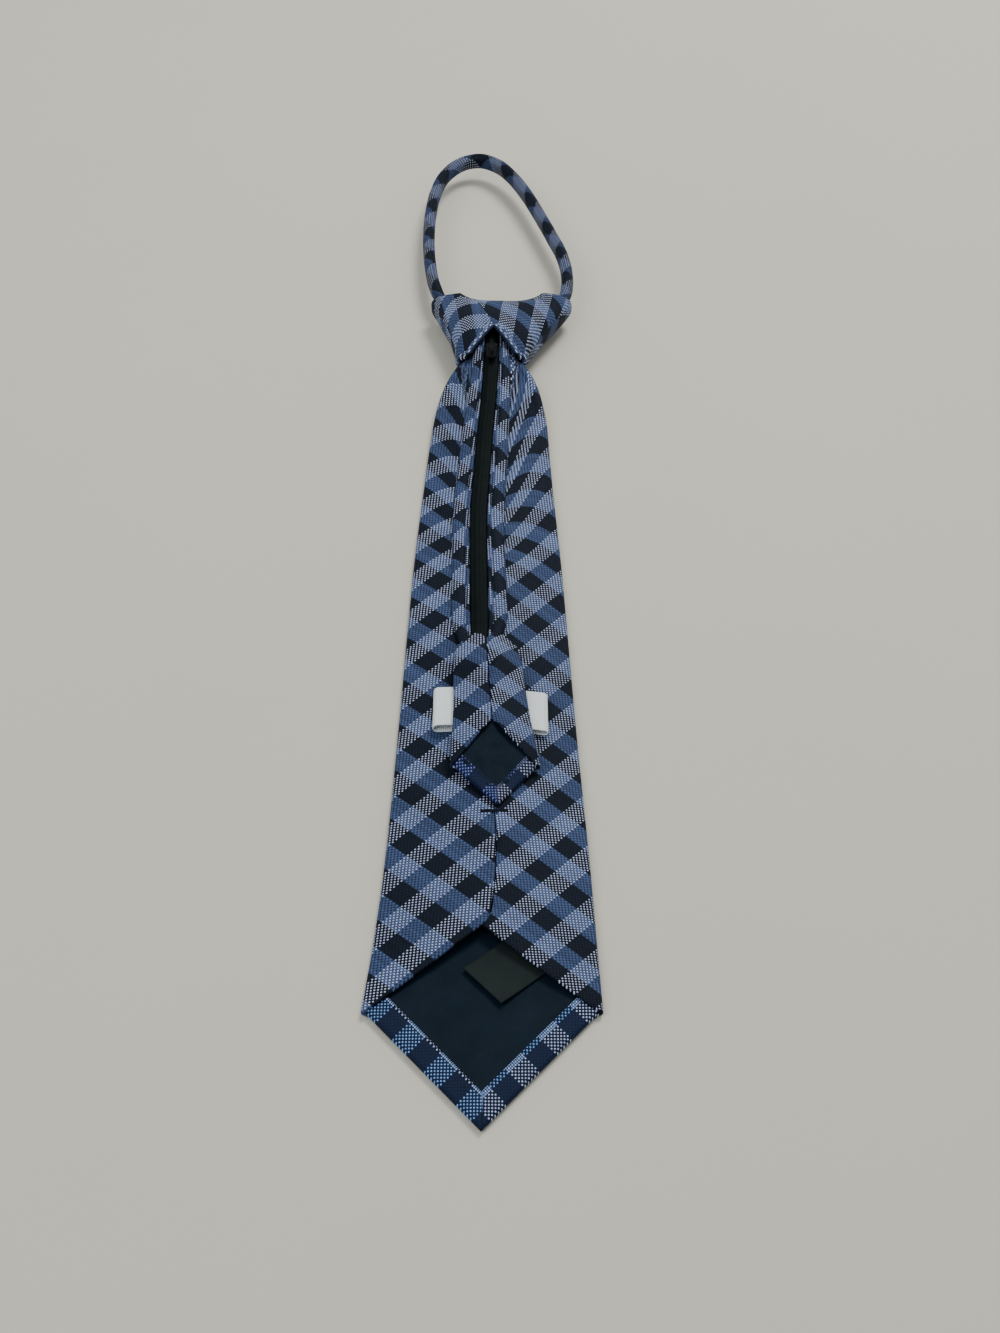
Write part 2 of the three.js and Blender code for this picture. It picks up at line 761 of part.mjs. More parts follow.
// Zipper tape with the closed row of teeth as a low ridge along its middle
function zipTape(start, end, steps) {
  const rings = [];
  for (let row = 0; row <= steps; row += 1) {
    const y = zipRowPlace(start, end, row / steps);
    const state = zipState(y);
    const half = state.slot - pieceGap;
    const chain = zipChainWidth / 2;
    const outline = [
      { x: -half, z: 0 },
      { x: -half / 3, z: 0 },
      { x: half / 3, z: 0 },
      { x: half, z: 0 },
      { x: half, z: zipTapeThickness },
      { x: chain, z: zipTapeThickness },
      { x: chain / 2, z: zipChainHeight },
      { x: -chain / 2, z: zipChainHeight },
      { x: -chain, z: zipTapeThickness },
      { x: -half, z: zipTapeThickness },
    ];
    rings.push(outline.map((p) => {
      const x = state.middle + p.x;
      return new THREE.Vector3(x, y, p.z + zipFloor(x, y));
    }));
  }
  return stripLoft(rings);
}

// Loft whose ends are cut into strips, for an outline that isn't convex
function stripLoft(rings) {
  const count = rings[0].length;
  const points = rings.flat();
  const triangles = [];
  for (let row = 0; row < rings.length - 1; row += 1) {
    for (let index = 0; index < count; index += 1) {
      const next = (index + 1) % count;
      const a = row * count + index;
      const b = row * count + next;
      triangles.push([a, b, b + count]);
      triangles.push([a, b + count, a + count]);
    }
  }
  const contour = rings[0].map((p) => new THREE.Vector2(p.x, p.z));
  const faces = THREE.ShapeUtils.triangulateShape(contour, []);
  const lastStart = (rings.length - 1) * count;
  const turned = THREE.ShapeUtils.isClockWise(contour);
  for (const [a, b, c] of faces) {
    const face = turned ? [a, b, c] : [a, c, b];
    triangles.push(face);
    triangles.push([lastStart + face[0], lastStart + face[2], lastStart + face[1]]);
  }
  return closedGeometry(points, triangles);
}

// Slider: a rounded plate over the teeth with a low bridge on it, joined into one solid
const wasm = await Module();
wasm.setup();

function toManifold(rings) {
  const vertProperties = new Float32Array(rings.flat().flatMap((p) => [p.x, p.y, p.z]));
  const geometry = loftGeometry(rings);
  return new wasm.Manifold(new wasm.Mesh({
    numProp: 3,
    vertProperties,
    triVerts: new Uint32Array(geometry.index.array),
  }));
}

function sliderGeometry() {
  const middle = zipState(sliderY).middle;
  const floor = zipFloor(middle, sliderY) + zipChainHeight + pieceGap;
  const plate = sliderPlate.map((row) => {
    const half = (sliderWidth * row.width) / 2;
    const y = sliderY + sliderLength * row.along;
    const low = floor + sliderThickness * row.low;
    const high = floor + sliderThickness * row.high;
    const bevel = (high - low) * sliderBevel;
    return [
      new THREE.Vector3(middle - half, y, low + bevel),
      new THREE.Vector3(middle - half + bevel, y, low),
      new THREE.Vector3(middle + half - bevel, y, low),
      new THREE.Vector3(middle + half, y, low + bevel),
      new THREE.Vector3(middle + half, y, high - bevel),
      new THREE.Vector3(middle + half - bevel, y, high),
      new THREE.Vector3(middle - half + bevel, y, high),
      new THREE.Vector3(middle - half, y, high - bevel),
    ];
  });
  const bridgeHalf = sliderBridgeWidth / 2;
  const bridge = sliderBridgeRows.map((row) => {
    const y = sliderY + sliderLength * row.along;
    const low = floor + sliderThickness / 2;
    const high = floor + sliderThickness + sliderBridge * row.up;
    const shoulder = high - bridgeHalf * sliderBevel;
    return [
      new THREE.Vector3(middle - bridgeHalf, y, low),
      new THREE.Vector3(middle + bridgeHalf, y, low),
      new THREE.Vector3(middle + bridgeHalf, y, shoulder),
      new THREE.Vector3(middle + bridgeHalf * sliderBridgeTop, y, high),
      new THREE.Vector3(middle - bridgeHalf * sliderBridgeTop, y, high),
      new THREE.Vector3(middle - bridgeHalf, y, shoulder),
    ];
  });
  const joined = toManifold(plate).add(toManifold(bridge)).getMesh();
  const geometry = new THREE.BufferGeometry();
  const positions = [...joined.vertProperties];
  geometry.setAttribute('position', new THREE.Float32BufferAttribute(positions, joined.numProp));
  geometry.setIndex([...joined.triVerts]);
  geometry.computeVertexNormals();
  return geometry;
}

// Knot: a front wrap that turns up at both sides, and two lobes that cover the back
const rimAngle = THREE.MathUtils.degToRad(knotRimTurn);

function knotState(at) {
  const left = columnValue(knotSections, 'left', at) * knotWidth;
  const right = columnValue(knotSections, 'right', at) * knotWidth;
  const front = columnValue(knotSections, 'front', at) * knotThickness;
  const back = columnValue(knotSections, 'back', at) * knotThickness;
  return {
    at,
    middle: (left + right) / 2,
    half: (right - left) / 2,
    centre: (front + back) / 2,
    rise: (back - front) / 2,
    pinch: columnValue(knotSections, 'pinch', at),
  };
}

// Sine or cosine bent so that its curve is a rounded box, squarer for a higher power
function roundPower(value, power) {
  return Math.sign(value) * Math.pow(Math.abs(value), 2 / power);
}

// Point of the knot's section at an angle, counted from the right side over the back
function knotPoint(state, angle) {
  const x = roundPower(Math.cos(angle), knotPower);
  const z = roundPower(Math.sin(angle), knotPower);
  const between = Math.max(1 - Math.pow(Math.abs(x) / knotClosed, knotClosedPower), 0);
  const close = 1 - state.pinch * between;
  return { x: state.middle + state.half * x, z: state.centre + state.rise * z * close };
}

// Angle at which the knot's back passes a place x
function knotAngle(state, x) {
  const share = THREE.MathUtils.clamp((x - state.middle) / state.half, -1, 1);
  return Math.acos(Math.sign(share) * Math.pow(Math.abs(share), knotPower / 2));
}

function knotSheet(rows, columns, angleRange) {
  const outer = [];
  const inner = [];
  for (let row = 0; row <= rows; row += 1) {
    const state = knotState(row / rows);
    const [from, to] = angleRange(state);
    const line = [];
    const back = [];
    for (let column = 0; column <= columns; column += 1) {
      const angle = THREE.MathUtils.lerp(from, to, column / columns);
      const near = [-knotAngleStep, 0, knotAngleStep].map((turn) => knotPoint(state, angle + turn));
      line.push(near[1]);
      back.push(setBack(near, knotCloth)[1]);
    }
    const place = (p) => {
      const lean = knotRimLean * (p.z - state.centre) * (1 - state.at);
      return new THREE.Vector3(p.x, knotStart + knotLength * state.at - lean, p.z);
    };
    outer.push(line.map(place));
    inner.push(back.map(place));
  }
  return sheetGeometry(outer, inner, false);
}

function frontRange() {
  return [Math.PI - rimAngle, 2 * Math.PI + rimAngle];
}

function rimGapAngle(state) {
  return pieceGap / state.rise;
}

function leftLobeRange(state) {
  const x = lineValue(lobeEdges, 'left', state.at) * knotWidth - knotSeamGap / 2;
  return [knotAngle(state, x), Math.PI - rimAngle - rimGapAngle(state)];
}

function rightLobeRange(state) {
  const x = lineValue(lobeEdges, 'right', state.at) * knotWidth + knotSeamGap / 2;
  return [rimAngle + rimGapAngle(state), knotAngle(state, x)];
}

// Neck loop: a folded band with a rounded section, bent into a long loop
function loopGeometry() {
  const course = loopCourse.map((p) => {
    const x = p.held * knotWidth + p.across * loopWidth;
    return new THREE.Vector3(x, loopStart + p.along * loopLength, loopHeight);
  });
  const curve = new THREE.CatmullRomCurve3(course, false, 'centripetal');
  const length = curve.getLength();
  const rings = [];
  for (let step = 0; step <= loopSteps; step += 1) {
    const t = step / loopSteps;
    const point = curve.getPointAt(t);
    const tangent = curve.getTangentAt(t);
    const across = new THREE.Vector3(-tangent.y, tangent.x, 0).normalize();
    const fromEnd = Math.min(t, 1 - t) * length;
    const freed = THREE.MathUtils.smoothstep(fromEnd, loopSqueezeFrom, loopSqueezeTo);
    const size = THREE.MathUtils.lerp(loopSqueeze, 1, freed);
    const ring = [];
    for (let side = 0; side < loopSides; side += 1) {
      const angle = (2 * Math.PI * side) / loopSides;
      const out = (size * roundPower(Math.cos(angle), loopPower) * loopBandWidth) / 2;
      const up = (size * roundPower(Math.sin(angle), loopPower) * loopBandHeight) / 2;
      ring.push(point.clone().addScaledVector(across, out).add(new THREE.Vector3(0, 0, up)));
    }
    rings.push(ring);
  }
  return loftGeometry(rings);
}

// Care label: a small black sheet on the lining, whose far end lies under the right flap
function labelGeometry() {
  const turn = THREE.MathUtils.degToRad(labelTurn);
  const acrossX = -Math.sin(turn) * labelWidth;
  const acrossY = Math.cos(turn) * labelWidth;
  const alongX = Math.cos(turn) * labelLength;
  const alongY = Math.sin(turn) * labelLength;
  const near = { x: labelCornerX, y: labelCornerY };
  const side = { x: near.x + acrossX, y: near.y + acrossY };
  const low = [near, { x: near.x + alongX, y: near.y + alongY }];
  const high = [side, { x: side.x + alongX, y: side.y + alongY }];
  const floor = () => bladeCloth + liningThickness + 2 * pieceGap;
  const lowLine = spreadLine(low, labelSteps);
  const highLine = spreadLine(high, labelSteps);
  return laidSheet(lowLine, highLine, labelSteps, floor, labelThickness);
}

// Assembly
const tie = new THREE.Group();
tie.position.y = -bladePoint;

function addPiece(name, geometry, material) {
  const mesh = new THREE.Mesh(geometry, material);
  mesh.name = name;
  tie.add(mesh);
}

const zipEnd = knotStart + zipBandEnd;
const leftSides = (state) => [state.middle - state.slot - state.band, state.middle - state.slot];
const rightSides = (state) => [state.middle + state.slot, state.middle + state.slot + state.band];

addPiece('blade_shell', formShell(bladeForm), checkCloth);
addPiece('blade_hem', formHem(bladeForm), checkCloth);
addPiece('blade_lining', formLining(bladeForm), liningSatin);
addPiece('care_label', labelGeometry(), labelSatin);
addPiece('keeper_loop', keeperGeometry(), keeperRibbonCloth);
addPiece('tail_shell', formShell(tailForm), checkCloth);
addPiece('tail_hem', formHem(tailForm), checkCloth);
addPiece('tail_lining', formLining(tailForm), liningSatin);
addPiece('zip_band_left', zipBar(zipStart, zipEnd, bandSteps, leftSides, zipBandThickness), checkCloth);
addPiece('zip_band_right', zipBar(zipStart, zipEnd, bandSteps, rightSides, zipBandThickness), checkCloth);
addPiece('zipper_tape', zipTape(zipStart, zipEnd, bandSteps), zipCloth);
addPiece('zipper_slider', sliderGeometry(), sliderPaint);
addPiece('knot_front', knotSheet(knotRows, knotFrontSteps, frontRange), checkCloth);
addPiece('knot_lobe_left', knotSheet(knotRows, knotLobeSteps, leftLobeRange), checkCloth);
addPiece('knot_lobe_right', knotSheet(knotRows, knotLobeSteps, rightLobeRange), checkCloth);
addPiece('neck_loop', loopGeometry(), checkCloth);

export default tie;
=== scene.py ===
"""The looks of a zipper necktie lying face down: cloth, ribbon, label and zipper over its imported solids.

The tie's own lengths below are in millimetres, with y measured from the tip of the blade.
to_frame() turns them into the frame's metres, whose origin is on the blade's widest line.
"""

import math

import bmesh
import bpy
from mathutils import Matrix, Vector, noise


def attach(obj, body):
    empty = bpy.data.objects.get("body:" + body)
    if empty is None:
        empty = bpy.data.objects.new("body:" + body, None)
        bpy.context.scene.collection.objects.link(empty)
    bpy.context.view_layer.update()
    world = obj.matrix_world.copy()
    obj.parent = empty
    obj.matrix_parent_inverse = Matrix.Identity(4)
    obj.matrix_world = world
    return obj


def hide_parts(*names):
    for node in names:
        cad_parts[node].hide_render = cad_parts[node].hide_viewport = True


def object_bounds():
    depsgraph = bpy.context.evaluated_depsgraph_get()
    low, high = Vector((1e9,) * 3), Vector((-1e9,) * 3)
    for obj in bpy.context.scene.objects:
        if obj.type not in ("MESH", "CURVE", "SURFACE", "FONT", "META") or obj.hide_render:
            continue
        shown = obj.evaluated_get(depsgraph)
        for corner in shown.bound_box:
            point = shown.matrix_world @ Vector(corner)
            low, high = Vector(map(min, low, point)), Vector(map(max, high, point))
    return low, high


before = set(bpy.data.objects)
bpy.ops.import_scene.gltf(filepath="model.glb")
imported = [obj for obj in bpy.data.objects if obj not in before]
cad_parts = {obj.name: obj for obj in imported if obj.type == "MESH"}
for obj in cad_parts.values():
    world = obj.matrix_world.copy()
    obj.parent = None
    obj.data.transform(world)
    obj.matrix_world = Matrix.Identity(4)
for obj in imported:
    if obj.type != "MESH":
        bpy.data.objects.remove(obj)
cad_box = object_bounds()

# Camera: above the tip, looking along the tie and down
CAMERA_PLACE = (0.0066, -0.434, 0.606)
CAMERA_DOWN = 44.5
CAMERA_LENS = 54.01
CAMERA_SENSOR = 36.0

# Blade
BLADE_WIDTH = 89
BLADE_LENGTH = 441
BLADE_TUCK = 11
BLADE_POINT = 50
BLADE_MOUTH = 90
BLADE_CLOTH = 1.2
BLADE_EDGE = 3.2
BLADE_RIDGE = 6.4
BLADE_HEM = 10
THROAT_LIFT = 4.4
PLEAT_DEPTH = 1.6
PLEAT_FROM = 0.68

# Tail
TAIL_TIP = 146
TAIL_LENGTH = 88
TAIL_WIDTH = 36.7
TAIL_POINT = 20
TAIL_MOUTH = 41
TAIL_CLOTH = 1
TAIL_EDGE = 2.9
TAIL_RIDGE = 4.8
TAIL_HEM = 5.5
TAIL_LEAN = 5
TAIL_SHIFT = 5.7
TAIL_PUFF = 4.5
TAIL_RAMP = 28
TAIL_RAMP_MARGIN = 7
TAIL_CORNER = TAIL_TIP + TAIL_POINT
TAIL_TOP = TAIL_TIP + TAIL_LENGTH

# Linings, label and keeper loop. LINING_THICKNESS is the solid's, LINING_CLOTH that of the thin cloth here.
LINING_THICKNESS = 1
LINING_CLOTH = 0.4
LINING_TUCK = 9
LINING_UNDER_HEM = 2
LINING_STEPS = 40
LABEL_WIDTH = 21.5
LABEL_LENGTH = 23.5
LABEL_THICKNESS = 0.35
LABEL_CURL = 1
LABEL_TURN = 41.5
LABEL_CORNER = (7.2, 52.5)
KEEPER_WIDTH = 48
KEEPER_RIBBON = 21.5
KEEPER_THICKNESS = 0.6
KEEPER_HEIGHT_LEFT = 4.6
KEEPER_HEIGHT_RIGHT = 3.2
KEEPER_Y = 187.8
KEEPER_SHIFT = 2.6
KEEPER_SLOPE = -0.035

# Zipper
ZIP_WIDTH = 8.2
ZIP_TAPE = 1.1
ZIP_CHAIN_WIDTH = 4.2
ZIP_CHAIN_HEIGHT = 1.8
ZIP_TOOTH_PITCH = 1.25
ZIP_BAND_WIDTH = 8
ZIP_BAND_THICKNESS = 2.6
ZIP_BAND_TUCK = 6
ZIP_BAND_END = 21
ZIP_RAMP = 14
ZIP_START = TAIL_TOP - ZIP_BAND_TUCK
ZIP_END = BLADE_LENGTH + ZIP_BAND_END
ZIP_SHOULDER = 0.28
ZIP_CREST = 0.05
ZIP_RIB = 0.11
ZIP_RIB_DROP = 0.12
ZIP_GROOVE = 0.2
ZIP_FOLD_SHARE = 0.22
ZIP_FOLD_SKIP = 0.42

# Knot
KNOT_START = BLADE_LENGTH
KNOT_LENGTH = 49
KNOT_WIDTH = 72
KNOT_THICKNESS = 22
KNOT_CLOTH = 2
KNOT_RIM_LEAN = 0.45
KNOT_SEAM_GAP = 0.4
KNOT_POWER = 2.7
KNOT_CLOSED = 0.58
KNOT_CLOSED_POWER = 4
KNOT_RIM_TURN = math.radians(14)
KNOT_ROW_POWER = 1.35
KNOT_ANGLE_STEP = 0.01

# Neck loop
LOOP_TUCK = 6
LOOP_START = KNOT_START + KNOT_LENGTH - LOOP_TUCK
LOOP_WIDTH = 80
LOOP_LENGTH = 153
LOOP_BAND_WIDTH = 6.4
LOOP_BAND_HEIGHT = 8.4
LOOP_HEIGHT = KNOT_THICKNESS / 2 - 0.2
LOOP_SQUEEZE = 0.75
LOOP_SQUEEZE_FROM = 9
LOOP_SQUEEZE_TO = 34
LOOP_POWER = 2.3
LOOP_GIRTH = 24
LOOP_ACROSS = 0.041
LOOP_GROOVE_ANGLE = math.radians(118)
LOOP_GROOVE_DEPTH = 0.16
LOOP_GROOVE_WIDTH = 0.2

# Clearances and the form of the back
PIECE_GAP = 0.3
REST_GAP = 0.35
SEAM_GAP = 0.4
CROWN_POWER = 1.4
PUCKER_PITCH = 6.5
PUCKER_HEIGHT = 0.16
PUCKER_REACH = 5

# Hems: the room that the front leaves for their roll, their cloth, and where their bands of squares lie
HEM_ROOM = 2.3
HEM_ROOM_POWER = 8
HEM_CLOTH = 0.5
HEM_BAND_LEFT = 4.2
HEM_BAND_RIGHT = 3.1
HEM_LENGTH_STEPS = 60

# Bar tack across the seam, below the tail
TACK_Y = 144
TACK_WIDTH = 11
TACK_HEIGHT = 1.4
TACK_THREAD = 0.3
TACK_THREADS = 5
TACK_SWAY = 0.12
TACK_SWAY_TURN = 3.1
TACK_RISE = 0.4

# Check: the length of one repeat, and the blocks of thread in it
CHECK_PERIOD = 18.2
BLOCKS_PER_PERIOD = 20

# Floor, and the point that the lights face, in metres. Colour and strength of the light from all round.
FLOOR_SIZE = 6
FLOOR_DROP = 0.0003
LIGHT_TARGET = (0, 0.25, 0)
ROOM_COLOUR = (0.93, 0.95, 1.0, 1)
ROOM_STRENGTH = 0.55

SIDE_NAMES = {-1: "left", 1: "right"}

# Soft unevenness of each cloth: height, length of a wave, and seed of the noise
RIPPLES = {
    "blade": (0.28, 26, 3.7),
    "tail": (0.22, 26, 3.7),
    "hem": (0.12, 17, 9.1),
    "blade_lining": (0.5, 9, 5.3),
    "tail_lining": (0.9, 6, 5.3),
    "label": (0.25, 11, 2.2),
    "keeper": (0.18, 12, 6.6),
    "band": (0.14, 13, 7.7),
    "knot": (0.35, 15, 4.4),
    "loop": (0.035, 8, 8.8),
}


def table(columns, rows):
    """Rows of a table as dictionaries with the named columns."""
    names = columns.split()
    return [dict(zip(names, row)) for row in rows]


# Blade sections, as shares of the blade's sizes
BLADE_SIZES = {
    "half": BLADE_WIDTH / 2,
    "middle": BLADE_WIDTH,
    "lift": THROAT_LIFT,
    "edge": BLADE_EDGE,
    "ridge": BLADE_RIDGE,
    "pleat": PLEAT_DEPTH,
}
BLADE_SECTIONS = table("at half middle lift edge ridge pleat", [
    (0.0, 1.0, 0.0, 0, 1.0, 1.16, 0),
    (0.08, 0.951, 0.011, 0, 1.0, 1.16, 0),
    (0.18, 0.904, 0.018, 0, 1.0, 1.08, 0),
    (0.36, 0.836, 0.015, 0, 1.0, 1.0, 0),
    (0.54, 0.782, 0.012, 0, 1.0, 1.0, 0),
    (0.65, 0.744, 0.011, 0, 1.0, 1.0, 0),
    (0.76, 0.69, 0.012, 0, 1.05, 1.02, 0),
    (0.83, 0.658, 0.015, 0.08, 1.15, 1.08, 0.15),
    (0.89, 0.625, 0.02, 0.25, 1.35, 1.2, 0.4),
    (0.925, 0.586, 0.021, 0.45, 1.6, 1.34, 0.7),
    (0.953, 0.532, 0.024, 0.65, 1.9, 1.48, 0.95),
    (0.974, 0.468, 0.026, 0.82, 2.2, 1.6, 1),
    (0.99, 0.395, 0.026, 0.94, 2.45, 1.68, 0.6),
    (1.0, 0.325, 0.026, 1, 2.5, 1.66, 0.3),
    (1.028, 0.28, 0.026, 1, 2.4, 1.6, 0.2),
])

# Tail sections, as shares of the tail's sizes
TAIL_SIZES = {"half": TAIL_WIDTH / 2, "edge": TAIL_EDGE, "ridge": TAIL_RIDGE}
TAIL_SECTIONS = table("at half edge ridge", [
    (0.0, 1.0, 1, 1),
    (0.35, 0.88, 1, 1.02),
    (0.7, 0.81, 1.15, 1.2),
    (0.9, 0.77, 1.52, 1.6),
    (1.0, 0.73, 1.66, 1.7),
])

# Zipper course: its middle as a share of the blade's width, its slot and bands as shares of their widths
ZIP_SIZES = {"middle": BLADE_WIDTH, "slot": ZIP_WIDTH / 2, "band": ZIP_BAND_WIDTH}
ZIP_COURSE = table("at middle slot band", [
    (-0.05, -0.024, 0.85, 0.44),
    (0.03, -0.025, 0.92, 0.66),
    (0.1, -0.027, 1.0, 1.0),
    (0.25, -0.033, 1.0, 1.0),
    (0.45, -0.037, 1.0, 0.98),
    (0.64, -0.017, 1.0, 0.95),
    (0.75, -0.004, 0.97, 0.9),
    (0.85, 0.012, 0.95, 0.84),
    (0.95, 0.024, 0.94, 0.72),
    (1.1, 0.03, 0.94, 0.7),
])

# Knot sections, as shares of the knot's sizes
KNOT_SIZES = {
    "left": KNOT_WIDTH,
    "right": KNOT_WIDTH,
    "front": KNOT_THICKNESS,
    "back": KNOT_THICKNESS,
    "pinch": 1,
}
KNOT_SECTIONS = table("at left right front back pinch", [
    (0.0, -0.215, 0.278, 0.02, 0.82, 0),
    (0.14, -0.229, 0.326, 0.0, 0.91, 0),
    (0.31, -0.257, 0.382, 0.0, 0.98, 0),
    (0.47, -0.292, 0.444, 0.0, 1.0, 0),
    (0.63, -0.33, 0.507, 0.0, 0.98, 0),
    (0.8, -0.37, 0.567, 0.02, 0.92, 0.05),
    (0.92, -0.4, 0.607, 0.06, 0.88, 0.35),
    (1.0, -0.405, 0.608, 0.11, 0.86, 0.66),
])

# Inner edges of the knot's two lobes, as shares of its width
LOBE_EDGES = table("at left right", [
    (0.0, -0.135, 0.215),
    (0.12, -0.085, 0.17),
    (0.25, -0.02, 0.11),
    (0.36, 0.035, 0.06),
    (0.42, 0.035, 0.035),
    (0.7, -0.04, -0.04),
    (1.0, -0.115, -0.115),
])

# Neck loop's middle line: held is a share of the knot's width, across and along are shares of the loop's
LOOP_COURSE = table("held across along", [
    (-0.228, 0, -0.06),
    (-0.276, 0, 0.01),
    (-0.172, -0.155, 0.08),
    (0, -0.355, 0.17),
    (0, -0.385, 0.3),
    (0, -0.4, 0.45),
    (0, -0.395, 0.6),
    (0, -0.37, 0.74),
    (0, -0.305, 0.87),
    (0, -0.19, 0.955),
    (0, -0.055, 0.98),
    (0, 0.07, 0.94),
    (0, 0.17, 0.86),
    (0, 0.26, 0.75),
    (0, 0.345, 0.615),
    (0, 0.425, 0.475),
    (0, 0.5, 0.33),
    (0, 0.527, 0.19),
    (0.278, 0.25, 0.08),
    (0.473, 0, 0.01),
    (0.389, 0, -0.055),
])

# How far the back seam lies from the blade's middle line, for the left and the right flap. At the mouth
# the right flap's corner reaches under the left flap.
BLADE_SEAM = table("at left right", [
    (87, 1.8, -1.0),
    (92.7, 1.8, 1.8),
    (104, 2.8, 2.8),
    (115, 3.4, 3.4),
    (131, 3.4, 3.4),
    (142, 2.9, 2.9),
    (182, 0, 0),
])
NO_SHIFT = table("at left right", [(0, 0, 0), (1, 0, 0)])

# Folds that run out of the knot over the two flaps: x of their sides. Their cloth shows one kind of square.
THROAT_FOLDS = {
    -1: table("at inner outer", [(413, -11.1, -11.1), (437, -9.1, -12.6), (450, -8.2, -13.4)]),
    1: table("at inner outer", [(404, 11.0, 11.0), (413, 10.9, 11.8), (442, 10.6, 15.6), (452, 10.6, 16.6)]),
}
THROAT_FOLD_CHECKS = {
    -1: {"i": -8.0, "j": 8.5, "x": -11, "y": 425, "length": 60},
    1: {"i": -15.5, "j": 7.5, "x": 12.6, "y": 441, "length": 45},
}
THROAT_FOLD_HEIGHT = 0.9

THROAT_PULL = table("at left right", [
    (290, 0, 0),
    (330, 0.25, 0.45),
    (360, 0.5, 0.85),
    (392, 0.8, 1.25),
    (416, 1.1, 2.2),
    (440, 1.3, 3.4),
])
THROAT_PULL_WIDTH = 12

# Where the checks lie on each stretch of cloth, with one row for each of the two systems of threads: the
# check periods passed at x 0 and y LATTICE_Y, then those for each millimetre of x and of y, and a bend.
LATTICE_Y = 150
LATTICE = {
    "blade_left": ((1.33, 0.0397, -0.0413, 0.0), (0.81, 0.0351, 0.0371, 0.0)),
    "blade_right": ((-5.253, 0.04222, -0.03658, 0.0000126), (-5.258, 0.03865, 0.04354, -0.0000161)),
    "tail_left": ((3.06, 0.041, -0.041, 0.0), (-2.4, 0.037, 0.041, 0.0)),
    "tail_right": ((1.98, 0.0425, -0.0342, 0.0), (-3.73, 0.0385, 0.0505, 0.0)),
    "band_left": ((4.88, 0.041, -0.0383, 0.0), (-3.98, 0.039, 0.0358, 0.0)),
    "band_right": ((4.78, 0.041, -0.0325, 0.0), (-5.7, 0.039, 0.0345, 0.0)),
}


# Small numeric helpers


def lerp(a, b, t):
    return a + (b - a) * t


def clamp(value, low, high):
    return max(low, min(high, value))


def smoothstep(value, low, high):
    t = clamp((value - low) / (high - low), 0, 1)
    return t * t * (3 - 2 * t)


def bump(distance, width):
    """A soft hump, 1 at no distance and near 0 past twice the width."""
    return math.exp(-((distance / width) ** 2))


def smooth_value(rows, name, at):
    """Value of one column of a table, on a smooth curve through its rows."""
    last = len(rows) - 1
    if at <= rows[0]["at"]:
        return rows[0][name]
    if at >= rows[last]["at"]:
        return rows[last][name]
    index = 0
    while rows[index + 1]["at"] < at:
        index += 1

    def slope(k):
        before = rows[max(k - 1, 0)]
        after = rows[min(k + 1, last)]
        return (after[name] - before[name]) / (after["at"] - before["at"])

    start = rows[index]
    end = rows[index + 1]
    span = end["at"] - start["at"]
    t = (at - start["at"]) / span
    rise = end[name] - start[name]
    a = slope(index) * span - rise
    b = rise - slope(index + 1) * span
    return start[name] + t * rise + t * (1 - t) * (a * (1 - t) + b * t)


def line_value(rows, name, at):
    """Value of one column of a table, on straight lines between its rows."""
    index = 0
    while index < len(rows) - 2 and rows[index + 1]["at"] < at:
        index += 1
    start = rows[index]
    end = rows[index + 1]
    t = clamp((at - start["at"]) / (end["at"] - start["at"]), 0, 1)
    return lerp(start[name], end[name], t)


def scaled_values(rows, at, sizes):
    """Values of a table's columns at one place, each times its own size."""
    return {name: smooth_value(rows, name, at) * size for name, size in sizes.items()}


def running_lengths(points):
    """Length passed along a line at each of its points."""
    lengths = [0.0]
    for a, b in zip(points, points[1:]):
        lengths.append(lengths[-1] + math.dist(a, b))
    return lengths


def ripple(kind, x, y, shift=0):
    """Smooth wandering value, up to the height in RIPPLES."""
    height, size, seed = RIPPLES[kind]
    seed += shift
    return height * noise.noise(Vector((x / size + seed, y / size - seed, seed)))


def to_frame(point):
    return (point[0] / 1000, (point[1] - BLADE_POINT) / 1000, point[2] / 1000)


def checks(stretch, x, y):
    """Fabric coordinates, in check periods, of a place on one stretch of cloth."""
    along = y - LATTICE_Y
    return tuple(
        start + across * x + slope * along + bend * along * along
        for start, across, slope, bend in LATTICE[stretch]
    )


# Making meshes


def add_object(name, data):
    added = bpy.data.objects.new(name, data)
    bpy.context.scene.collection.objects.link(added)
    return added


def closed_mesh(name, points, places, faces, material):
    """Smooth closed piece on the root body. places holds the fabric coordinates of its points."""
    mesh = bpy.data.meshes.new(name)
    mesh.from_pydata([to_frame(p) for p in points], [], faces)
    layer = mesh.uv_layers.new(name="fabric")
    for polygon in mesh.polygons:
        polygon.use_smooth = True
    for corner in mesh.loops:
        layer.data[corner.index].uv = places[corner.vertex_index]
    mesh.materials.append(material)
    # The faces are made to agree and to point out of the piece
    work = bmesh.new()
    work.from_mesh(mesh)
    bmesh.ops.recalc_face_normals(work, faces=work.faces)
    work.to_mesh(mesh)
    work.free()
    piece = add_object(name, mesh)
    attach(piece, "root")
    return piece


def rim_points(outer, inner, outward, steps):
    """Points of a half round between an outer and an inner point, bulging outward."""
    middle = (outer + inner) / 2
    half = (outer - inner) / 2
    angles = [math.pi * step / steps for step in range(1, steps)]
    return [middle + half * math.cos(angle) + outward * half.length * math.sin(angle) for angle in angles]


